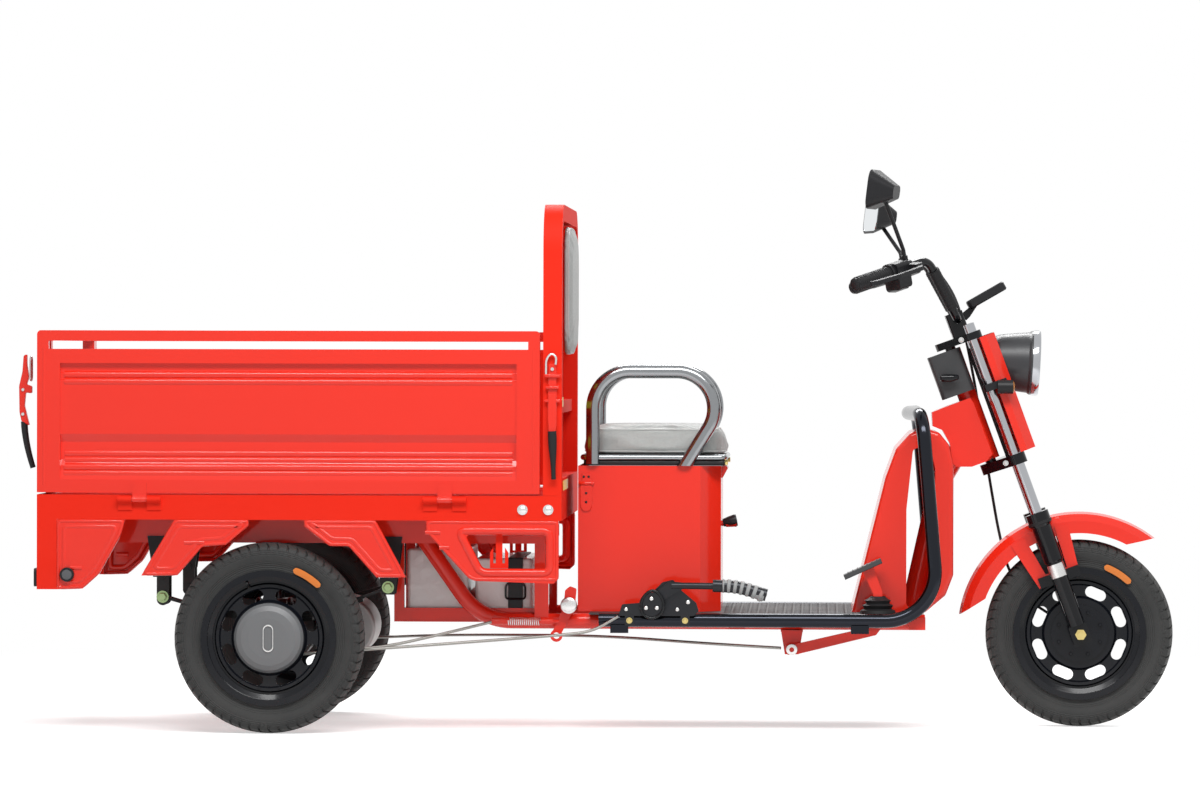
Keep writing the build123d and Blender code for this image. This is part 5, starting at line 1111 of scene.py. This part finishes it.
lever_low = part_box("park_lever")[0]
put_mesh("park_lever_cap", *turned(dome(0.0205, 0.006, 0.002), (-0.080, lever_low.y, 0.306), (0, -1, 0), 36),
         bright_zinc, "chassis", "zinc")
rod_y = lever_low.y + 0.0135
springs = [coil((-0.228, rod_y, 0.266), (-0.150, rod_y, 0.266), 0.0088, 0.0013, 16)]
for side in (-1, 1):
    springs.append(coil((-0.790, side * 0.335, 0.185), (-0.735, side * 0.338, 0.188), 0.0060, 0.0011, 12))
put_mesh("return_springs", *join(*springs), bright_zinc, "chassis", "zinc")

# %% Brake pedal
pad = inset([(0.594, 0.374), (0.680, 0.413), (0.677, 0.420), (0.591, 0.381)], -0.0022)
points, faces = prism(pad, -0.2815, -0.2185, 0.0015)
pad_shape = (np.stack([points[:, 0], points[:, 2], points[:, 1]], 1), faces)
slope = np.array([0.086, 0.0, 0.039]) / np.hypot(0.086, 0.039)
ribs = []
for share in np.linspace(0.1, 0.9, 7):
    spot = np.array([0.5911, 0.0, 0.3835]) + slope * share * 0.0945
    ribs.append(tube([spot + [0, -0.279, 0], spot + [0, -0.25, 0], spot + [0, -0.221, 0]], 0.0016, 6))
put_mesh("pedal_pad", *join(pad_shape, *ribs), shell_grey, "chassis", "black_rubber")
washer = [(0.0, 0.006), (0.0, 0.0135), (0.0018, 0.0135), (0.0024, 0.0125), (0.0024, 0.006)]
put_mesh("pedal_pivot_washer", *turned(washer, (0.463, -0.2632, 0.200), (0, -1, 0), 28, close=True), bright_zinc,
         "chassis", "zinc")

# %% [markdown]
# The floor is chequer plate: almond lugs a millimetre high, laid in pairs that cross at right angles. One lug is
# stamped at every place by `copies`, with a few faces each because there are hundreds.

# %% Chequer plate
lug_t = np.linspace(-1, 1, 6)
lug_width = 0.0032 * np.sqrt(np.clip(1 - lug_t ** 2, 0, 1)) + 0.0002
lug_rows = np.stack([np.stack([lug_t * 0.0125, -lug_width, np.zeros(6)], 1),
                     np.stack([lug_t * 0.0110, np.zeros(6), np.full(6, 0.0012)], 1),
                     np.stack([lug_t * 0.0125, lug_width, np.zeros(6)], 1)])
plate_low, plate_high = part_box("floor_plate")
lug_pitch = 0.0215
xs, ys = np.meshgrid(np.arange(0.305, plate_high.x - 0.012, lug_pitch),
                     np.arange(plate_low.y + 0.016, plate_high.y - 0.01, lug_pitch), indexing="ij")
odd = (np.add.outer(np.arange(xs.shape[0]), np.arange(xs.shape[1])) % 2).ravel()
turn = radians(45) + odd * pi / 2
lug_places = np.tile(np.eye(4), (len(turn), 1, 1))
lug_places[:, 0, 0], lug_places[:, 0, 1] = np.cos(turn), -np.sin(turn)
lug_places[:, 1, 0], lug_places[:, 1, 1] = np.sin(turn), np.cos(turn)
lug_places[:, :3, 3] = np.stack([xs.ravel(), ys.ravel(), np.full(len(turn), plate_high.z)], 1)
put_mesh("floor_lugs", *copies(lug_rows.reshape(-1, 3), grid_faces(3, 6)[:, ::-1].tolist(), lug_places), deck_finish,
         "chassis", "deck_steel", fix_normals=False)
print("floor lugs", len(turn))

# %% [markdown]
# ## Battery, seat box and seat
# A webbing strap with a wire buckle holds the wrapped battery on its dark tray. The seat box has a red hasp
# high on its side, and the seat's steel frame is a thin tube that shows as a bright line under the cushion.

# %% Battery strap and tray
battery_low, battery_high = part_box("battery")
strap_back, strap_front, strap_thick, strap_bevel = -0.232, -0.196, 0.0022, 0.0008


def strap_run(start, end):
    """Flat length of strap between two heights or widths."""
    outline = [(strap_back, start), (strap_front, start), (strap_front, end), (strap_back, end)]
    return prism(outline, 0.0, strap_thick, strap_bevel)


shapes = [upright(strap_run(battery_low.z, battery_high.z), side, face)
          for side, face in ((-1, battery_low.y), (1, battery_high.y))]
points, faces = strap_run(battery_low.y - 0.002, battery_high.y + 0.002)
shapes.append((points + [0, 0, battery_high.z], faces))
put_mesh("battery_strap", *join(*shapes), black_plastic, "chassis", "black_plastic")
buckle = [(-0.238, 0.318), (-0.190, 0.318), (-0.190, 0.352), (-0.206, 0.362), (-0.222, 0.362), (-0.238, 0.352)]
buckle_path = at_side(rounded(buckle, 0.008), battery_low.y - 0.0048)
put_mesh("battery_buckle", *loop_tube(buckle_path, 0.0026, (0, 1, 0)), black_enamel, "chassis", "black_paint")
tray_shapes = []
for low, high in (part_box("battery"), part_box("controller_box")):
    band = rounded([(low.x - 0.002, low.y - 0.002), (high.x + 0.002, low.y - 0.002), (high.x + 0.002, high.y + 0.002),
                    (low.x - 0.002, high.y + 0.002)], 0.006)
    rings = np.vstack([np.column_stack([band, np.full(len(band), z)]) for z in (low.z + 0.001, low.z + 0.030)])
    tray_shapes.append((rings, grid_faces(2, len(band), wrap_cols=True).tolist()))
trays = put_mesh("battery_trays", *join(*tray_shapes), chassis_black, "chassis", "dark_steel")
wall = trays.modifiers.new("wall", "SOLIDIFY")
wall.thickness = 0.0015

# %% Hasp, knob and seat frame
box_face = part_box("seat_box")[0].y
hasp = [(-0.056, 0.546), (-0.050, 0.533), (-0.032, 0.533), (-0.026, 0.546), (-0.026, 0.600), (-0.056, 0.600)]
leaf = [(-0.052, 0.604), (-0.030, 0.604), (-0.030, 0.628), (-0.052, 0.628)]
knuckle = [(x, box_face - 0.004, 0.602) for x in (-0.060, -0.058, -0.024, -0.022)]
red_shapes = [upright(prism(rounded(hasp, 0.008), 0.0, 0.0045, 0.0015), -1, box_face),
              upright(prism(leaf, 0.0, 0.003, 0.001), -1, box_face),
              tube(knuckle, [0.003, 0.0045, 0.0045, 0.003], 14)]
put_mesh("seat_hasp", *join(*red_shapes), red_enamel, "chassis", "red_paint")
rivets = [turned(dome(0.003, 0.0018), (-0.041, box_face - 0.0045, z), (0, -1, 0), 12) for z in (0.556, 0.578)]
rivets += [turned(dome(0.003, 0.0018), (x, box_face - 0.003, 0.618), (0, -1, 0), 12) for x in (-0.047, -0.035)]
put_mesh("seat_hasp_rivets", *join(*rivets), chassis_black, "chassis", "dark_steel")
knob_aim = np.array([cos(radians(12)), 0.0, sin(radians(12))])
knob = [(0.004, 0.0), (0.004, 0.0095), (0.010, 0.0108), (0.020, 0.0130), (0.034, 0.0150), (0.0385, 0.0142),
        (0.0392, 0.0)]
put_mesh("seat_knob", *turned(knob, (0.288, -0.060, 0.501), knob_aim, 28), black_plastic, "chassis", "black_plastic")
frame_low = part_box("seat_frame")[0]
half_y = 0.198
# A dark strip round the frame just under the tube is painted shadow: it stands for the shade in the gap between the
# seat frame and the box.
band_face = touch("seat_frame", (0.12, -0.6, 0.655), (0, 1, 0))
band_y = abs(band_face[1]) + 0.0006 if band_face is not None else 0.200
band_back, band_front = frame_low.x + 0.0004, touch("seat_frame", (0.8, 0.0, 0.655), (-1, 0, 0))[0] + 0.0006
shadow_strip_line = rounded([(band_back, -band_y), (band_front, -band_y), (band_front, band_y), (band_back, band_y)], 0.010)
rings = np.vstack([np.column_stack([shadow_strip_line, np.full(len(shadow_strip_line), z)]) for z in (0.6465, 0.6590)])
band = put_mesh("seat_frame_painted_shadow", rings, grid_faces(2, len(shadow_strip_line), wrap_cols=True).tolist(), chassis_black,
                "seat", "dark_steel")
shadow_strip_wall = band.modifiers.new("wall", "SOLIDIFY")
shadow_strip_wall.thickness = 0.0012
frame_line = rounded([(-0.049, -half_y), (0.298, -half_y), (0.298, half_y), (-0.049, half_y)], 0.018)
frame_path = np.column_stack([frame_line, np.full(len(frame_line), 0.6655)])
put_mesh("seat_frame_tube", *loop_tube(frame_path, 0.0072, (0, 0, 1), 14), armrest_steel, "seat", "armrest_steel")
bolts("seat_frame_bolt", [((0.2985, -0.180, 0.653), (1, 0, 0)), ((0.2985, 0.180, 0.653), (1, 0, 0))], 0.013, 0.007,
      yellow_zinc, "seat", "zinc")

# %% [markdown]
# ## Under the bed
# Each leaf spring is clamped to the axle by two U-bolts, and its front eye turns on a bolt with a green
# chromated head.

# %% Spring bolts
u_shapes, green = [], []
for side in (-1, 1):
    y = side * 0.280
    for x in (rear_x - 0.038, rear_x + 0.038):
        bend = [(x, y - 0.032, 0.190), (x, y - 0.032, 0.318), (x, y + 0.032, 0.318), (x, y + 0.032, 0.190)]
        u_shapes.append(tube(rounded(bend, 0.016, False), 0.0055, 10))
    for x, z in ((-0.518, 0.350), (-1.068, 0.325)):
        green.append(((x, side * (0.315 - 0.001), z), (0, side, 0)))
put_mesh("spring_u_bolts", *join(*u_shapes), grey_steel, "chassis", "dark_steel")
bolts("spring_eye_bolts", green, 0.022, 0.012, green_zinc, "chassis", "zinc")
print("controls and chassis details done")

# %% [markdown]
# ## Front end
# The sliders carry a bright band and a rubber dust seal, and cap bolts close the legs on the top yoke. All are
# turned shapes placed in the fork's own frame, which leans back with the legs.

# %% Fork details
leg_y = 0.082
band = [(0.150, 0.0200), (0.151, 0.0212), (0.184, 0.0212), (0.185, 0.0200)]
seal_up = 0.2895
seal = [(seal_up, 0.0290), (seal_up, 0.0302), (seal_up + 0.006, 0.0302), (seal_up + 0.007, 0.0290)]
bands, seals, caps = [], [], []
for side in (-1, 1):
    foot = fork_place(0, side * leg_y, 0)
    bands.append(turned(band, foot, fork_up, 40, close=True))
    seals.append(turned(seal, foot, fork_up, 40, close=True))
    caps.append((fork_place(0, side * leg_y, 0.7905), fork_up))
put_mesh("slider_bands", *join(*bands), bright_zinc, "steering", "zinc")
put_mesh("slider_seals", *join(*seals), black_rubber, "steering", "black_rubber")
bolts("yoke_cap_bolts", caps, 0.020, 0.008, bright_zinc, "steering", "zinc")
side_bolts = [(fork_place(-0.030, side * 0.0995, t), (0, side, 0)) for side in (-1, 1) for t in (0.459, 0.781)]
bolts("yoke_side_bolts", side_bolts, 0.010, 0.006, bright_zinc, "steering", "zinc")

# %% Cables beside the steering column
cable_t = np.linspace(0, 1, 40)
cables = []
for ahead, left in ((-0.0175, -0.008), (-0.0185, 0.001), (-0.0175, 0.010)):
    cables.append(tube([fork_place(ahead, left, 0.462 + 0.292 * t) for t in cable_t], 0.0036, 12))
put_mesh("column_cables", *join(*cables), black_rubber, "steering", "black_rubber")

# %% [markdown]
# The lamp has a bright rim, a shallow mirror behind the glass and vertical flutes moulded into the lens. The
# lens is a shell: a shallow dome whose depth has a cosine added to it across its width.

# %% Headlight
lamp_aim = np.array([cos(radians(3)), 0.0, -sin(radians(3))])
lamp_front = np.array([1.064, 0.0, 0.898])
lamp_left = np.array([0.0, 1.0, 0.0])
lamp_rise = np.cross(lamp_aim, lamp_left) * -1


def lamp_disc(depth_of, radius, rings=24, around=72):
    """Disc facing out of the lamp: its depth along the aim is a function of (left, up)."""
    r = np.linspace(0.0008, radius, rings)[:, None]
    a = np.linspace(0, 2 * pi, around, endpoint=False)[None, :]
    left, up = r * np.cos(a), r * np.sin(a)
    depth = depth_of(left, up)
    points = lamp_front + depth[..., None] * lamp_aim + left[..., None] * lamp_left + up[..., None] * lamp_rise
    points = np.vstack([points.reshape(-1, 3), points[0].mean(0)])
    faces = grid_faces(rings, around, wrap_cols=True).tolist()
    faces += [[(spoke + 1) % around, spoke, len(points) - 1] for spoke in range(around)]
    return points, faces


def bowl(left, up):
    """Depth of the shallow mirror."""
    return 0.0012 + 0.0035 * (left ** 2 + up ** 2) / 0.072 ** 2


def fluted(left, up):
    """Depth of the domed lens with its upright flutes, 7.5 mm apart."""
    return 0.0105 - 0.0050 * (left ** 2 + up ** 2) / 0.074 ** 2 + 0.0005 * np.cos(left * 2 * pi / 0.0075)


put_mesh("lamp_mirror", *lamp_disc(bowl, 0.0725), bright_zinc, "steering", "zinc")
lens = put_mesh("lamp_lens", *lamp_disc(fluted, 0.0742, 40, 120), lamp_glass, "steering", "lens")
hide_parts("headlight_lens")
lens_wall = lens.modifiers.new("wall", "SOLIDIFY")
lens_wall.thickness = 0.0014
lens_wall.offset = -1.0
rim = [(-0.010, 0.0800), (-0.004, 0.0812), (0.003, 0.0812), (0.0075, 0.0790), (0.0085, 0.0755), (0.0060, 0.0740),
       (0.0005, 0.0745)]
put_mesh("lamp_rim", *turned(rim, lamp_front, lamp_aim, 96, close=True), dark_chrome, "steering", "dark_chrome")
bulb = dome(0.011, 0.005, 0.001)
put_mesh("lamp_bulb_cap", *turned(bulb, lamp_front + 0.002 * lamp_aim, lamp_aim, 24), grey_steel, "steering",
         "dark_steel")

# %% Indicator lenses
lens_rim = [(-0.006, 0.0172), (0.0006, 0.0172), (0.0016, 0.0160), (0.0010, 0.0148), (-0.006, 0.0150)]
lenses, rims = [], []
for side in (-1, 1):
    spot = fork_place(0, side * 0.118, 0.648) + [0.052, 0, 0]
    lenses.append(turned(dome(0.0148, 0.0055, 0.0008), spot, (1, 0, 0), 32))
    rims.append(turned(lens_rim, spot, (1, 0, 0), 32, close=True))
put_mesh("indicator_lenses", *join(*lenses), amber_lens, "steering", "amber")
put_mesh("indicator_rims", *join(*rims), black_plastic, "steering", "black_plastic")

# %% [markdown]
# ## Handlebar
# Rubber grips have rings moulded round them and a flange at the inner end. The risers look thick because the
# cables are taped to them, so each gets a sleeve of tape: a tube whose radius steps at every turn of the tape.

# %% Grips and taped risers
flange = [(0.1155, 0.010), (0.1155, 0.0215), (0.1185, 0.0225), (0.1215, 0.0215), (0.1215, 0.010)]
cap = [(-0.0055, 0.0), (-0.0055, 0.0120), (-0.0035, 0.0150), (0.001, 0.0160), (0.001, 0.0)]
grips, tapes, buttons = [], [], []
for side in (-1, 1):
    end = np.array([0.616, side * 0.352, 1.088])
    root = np.array([0.792, side * 0.166, 1.150])
    ahead = unit(root - end)
    grips.append(ribbed(end - ahead * 0.004, end + ahead * 0.121, end + ahead * 0.0585, 0.0178, 17, 0.0011, 28, 340))
    grips.append(turned(flange, end, ahead, 32, close=True))
    grips.append(turned(cap, end, ahead, 28))
    down = np.array([0.868, side * 0.070, 1.006]) - root
    t = np.linspace(0.16, 0.80, 160)
    line = root + t[:, None] * down + np.array([0.0025, 0.0, -0.0015])
    radius = 0.0142 + 0.0007 * ((t * 20) % 1.0)
    radius[0] = radius[-1] = 0.0112
    tapes.append(tube(line, radius, 18))
    rise = unit(np.array([0.0, 0.0, 1.0]) - ahead * ahead[2])
    face = -np.cross(ahead, rise)
    for along, across in ((0.140, 0.0), (0.156, -0.014), (0.163, 0.002)):
        spot = end + ahead * along + face * 0.0235 + rise * across
        buttons.append(turned(dome(0.0052, 0.0025, 0.002), spot, face, 16))
put_mesh("grips", *join(*grips), grip_rubber, "steering", "black_rubber")
put_mesh("riser_tape", *join(*tapes), black_rubber, "steering", "black_rubber")
put_mesh("switch_buttons", *join(*buttons), grey_rubber, "steering", "black_plastic")

# %% [markdown]
# Each mirror is a flat glass in a moulded shell. The glass is a rounded outline with a narrow bevel.

# %% Mirror glass and key
glasses = []
for side, centre_z in ((-1, 1.317), (1, 1.270)):
    facing = unit([-0.93, -side * 0.25, 0.12])
    across = np.array([-side * 0.26, 0.966, 0.0])
    across = unit(across - facing * (across @ facing))
    tall = np.cross(facing, across)
    outline = rounded([(-0.060, -0.042), (0.060, -0.042), (0.060, 0.042), (-0.060, 0.042)], 0.024, steps=9)
    points, faces = prism(outline, 0.0132, 0.0150, 0.0012)
    points = np.array([0.672, side * 0.300, centre_z]) + points @ np.stack([across, tall, facing])
    glasses.append((points, faces))
put_mesh("mirror_glasses", *join(*glasses), mirror_glass, "steering", "lens")
key_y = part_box("lock_box")[0].y - 0.004
key = [(0.826, key_y, 0.861), (0.829, key_y, 0.861), (0.850, key_y, 0.861), (0.869, key_y, 0.863),
       (0.872, key_y, 0.863)]
put_mesh("lock_key", *tube(key, [0.006, 0.0095, 0.0100, 0.0065, 0.004], 18), black_enamel, "chassis", "black_paint")
print("front end done")

# %% [markdown]
# ## Studio
# A pale floor that runs out of sight, a pale surround and two long soft lamps, one above each side. The surround is
# white to the camera and to reflections, and softer as a light source, so the paint keeps its own colour.

# %% Floor, light and surround
floor_mesh = bpy.data.meshes.new("studio_floor")
floor_mesh.from_pydata([(-40, -40, 0), (40, -40, 0), (40, 40, 0), (-40, 40, 0)], [], [(0, 1, 2, 3)])
floor = bpy.data.objects.new("studio_floor", floor_mesh)
bpy.context.scene.collection.objects.link(floor)
floor_finish, floor_tree, floor_shader = new_finish("floor_finish")
feed(floor_tree, floor_shader, {"Base Color": (0.80, 0.80, 0.80), "Roughness": 0.8, "Specular IOR Level": 0.1})


def shows_itself(tree):
    """1 for the rays that should see the white surround: camera, mirror and glass rays; 0 for bounced light."""
    rays = add(tree, "LightPath").outputs
    seen = maths(tree, "ADD", rays["Is Camera Ray"], rays["Is Glossy Ray"], True)
    return maths(tree, "ADD", seen, rays["Is Transmission Ray"], True)


def mixed_shader(tree, factor, first, second):
    """Mix of two shaders by a factor."""
    return add(tree, "MixShader", {0: factor, 1: first, 2: second}).outputs[0]


def white_glow(tree, kind, strength):
    """A white emission or background of a given strength; 1 is white."""
    return add(tree, kind, {"Color": (1.0, 1.0, 1.0), "Strength": strength}).outputs[0]


lit_floor = add(floor_tree, "AddShader", {0: floor_shader.outputs[0], 1: white_glow(floor_tree, "Emission", 0.5)})
span = add(floor_tree, "VectorMath", {0: object_coords(floor_tree)}, operation="LENGTH").outputs["Value"]
far = add(floor_tree, "MapRange", {"Value": span, "From Min": 1.9, "From Max": 3.6}, interpolation_type="SMOOTHSTEP")
seen_floor = mixed_shader(floor_tree, far.outputs["Result"], lit_floor.outputs[0],
                          white_glow(floor_tree, "Emission", 1.0))
whole_floor = mixed_shader(floor_tree, shows_itself(floor_tree), floor_shader.outputs[0], seen_floor)
floor_out = next(n for n in floor_tree.nodes if n.type == "OUTPUT_MATERIAL")
feed(floor_tree, floor_out, {"Surface": whole_floor})
floor_mesh.materials.append(floor_finish)

world = bpy.data.worlds.new("surround")
world.use_nodes = True
bpy.context.scene.world = world
surround = world.node_tree
surround.nodes.clear()
felt_light = white_glow(surround, "Background", 0.34)
seen_light = white_glow(surround, "Background", 1.0)
add(surround, "OutputWorld", {"Surface": mixed_shader(surround, shows_itself(surround), felt_light, seen_light)})


def soft_lamp(name, place, target, width, height, power):
    """A rectangular area lamp that looks at a target, its width level."""
    data = bpy.data.lights.new(name, "AREA")
    data.shape = "RECTANGLE"
    data.size = width
    data.size_y = height
    data.energy = power
    lamp = bpy.data.objects.new(name, data)
    lamp.location = place
    lamp.rotation_euler = (Vector(target) - Vector(place)).to_track_quat("-Z", "Y").to_euler()
    bpy.context.scene.collection.objects.link(lamp)


soft_lamp("key", (0.6, -3.6, 4.4), (0.0, 0.0, 0.6), 5.0, 1.3, 285.0)
soft_lamp("rim", (0.0, 3.6, 4.2), (0.0, 0.0, 0.7), 4.0, 1.2, 200.0)

# %% [markdown]
# ## Camera
# The viewpoint is a long lens far off the right-hand side, a little above the seat, turned slightly towards the
# load bed. Its direction is worked out from a yaw, a pitch and a very small roll.

# %% Camera
camera_data = bpy.data.cameras.new("camera")
camera_data.sensor_width = 36.0
camera_data.lens = 168.1
camera_data.clip_end = 100.0
camera = bpy.data.objects.new("camera", camera_data)
bpy.context.scene.collection.objects.link(camera)
yaw, pitch, roll = radians(2.25), radians(-0.536), radians(0.13)
turn = Matrix.Rotation(yaw, 4, "Z") @ Matrix.Rotation(pi / 2 + pitch, 4, "X") @ Matrix.Rotation(roll, 4, "Z")
camera.matrix_world = Matrix.Translation((0.5305, -13.9, 0.934)) @ turn
bpy.context.scene.camera = camera
bpy.context.scene.view_settings.view_transform = "Standard"

# %% Final update of the scene
bpy.context.view_layer.update()
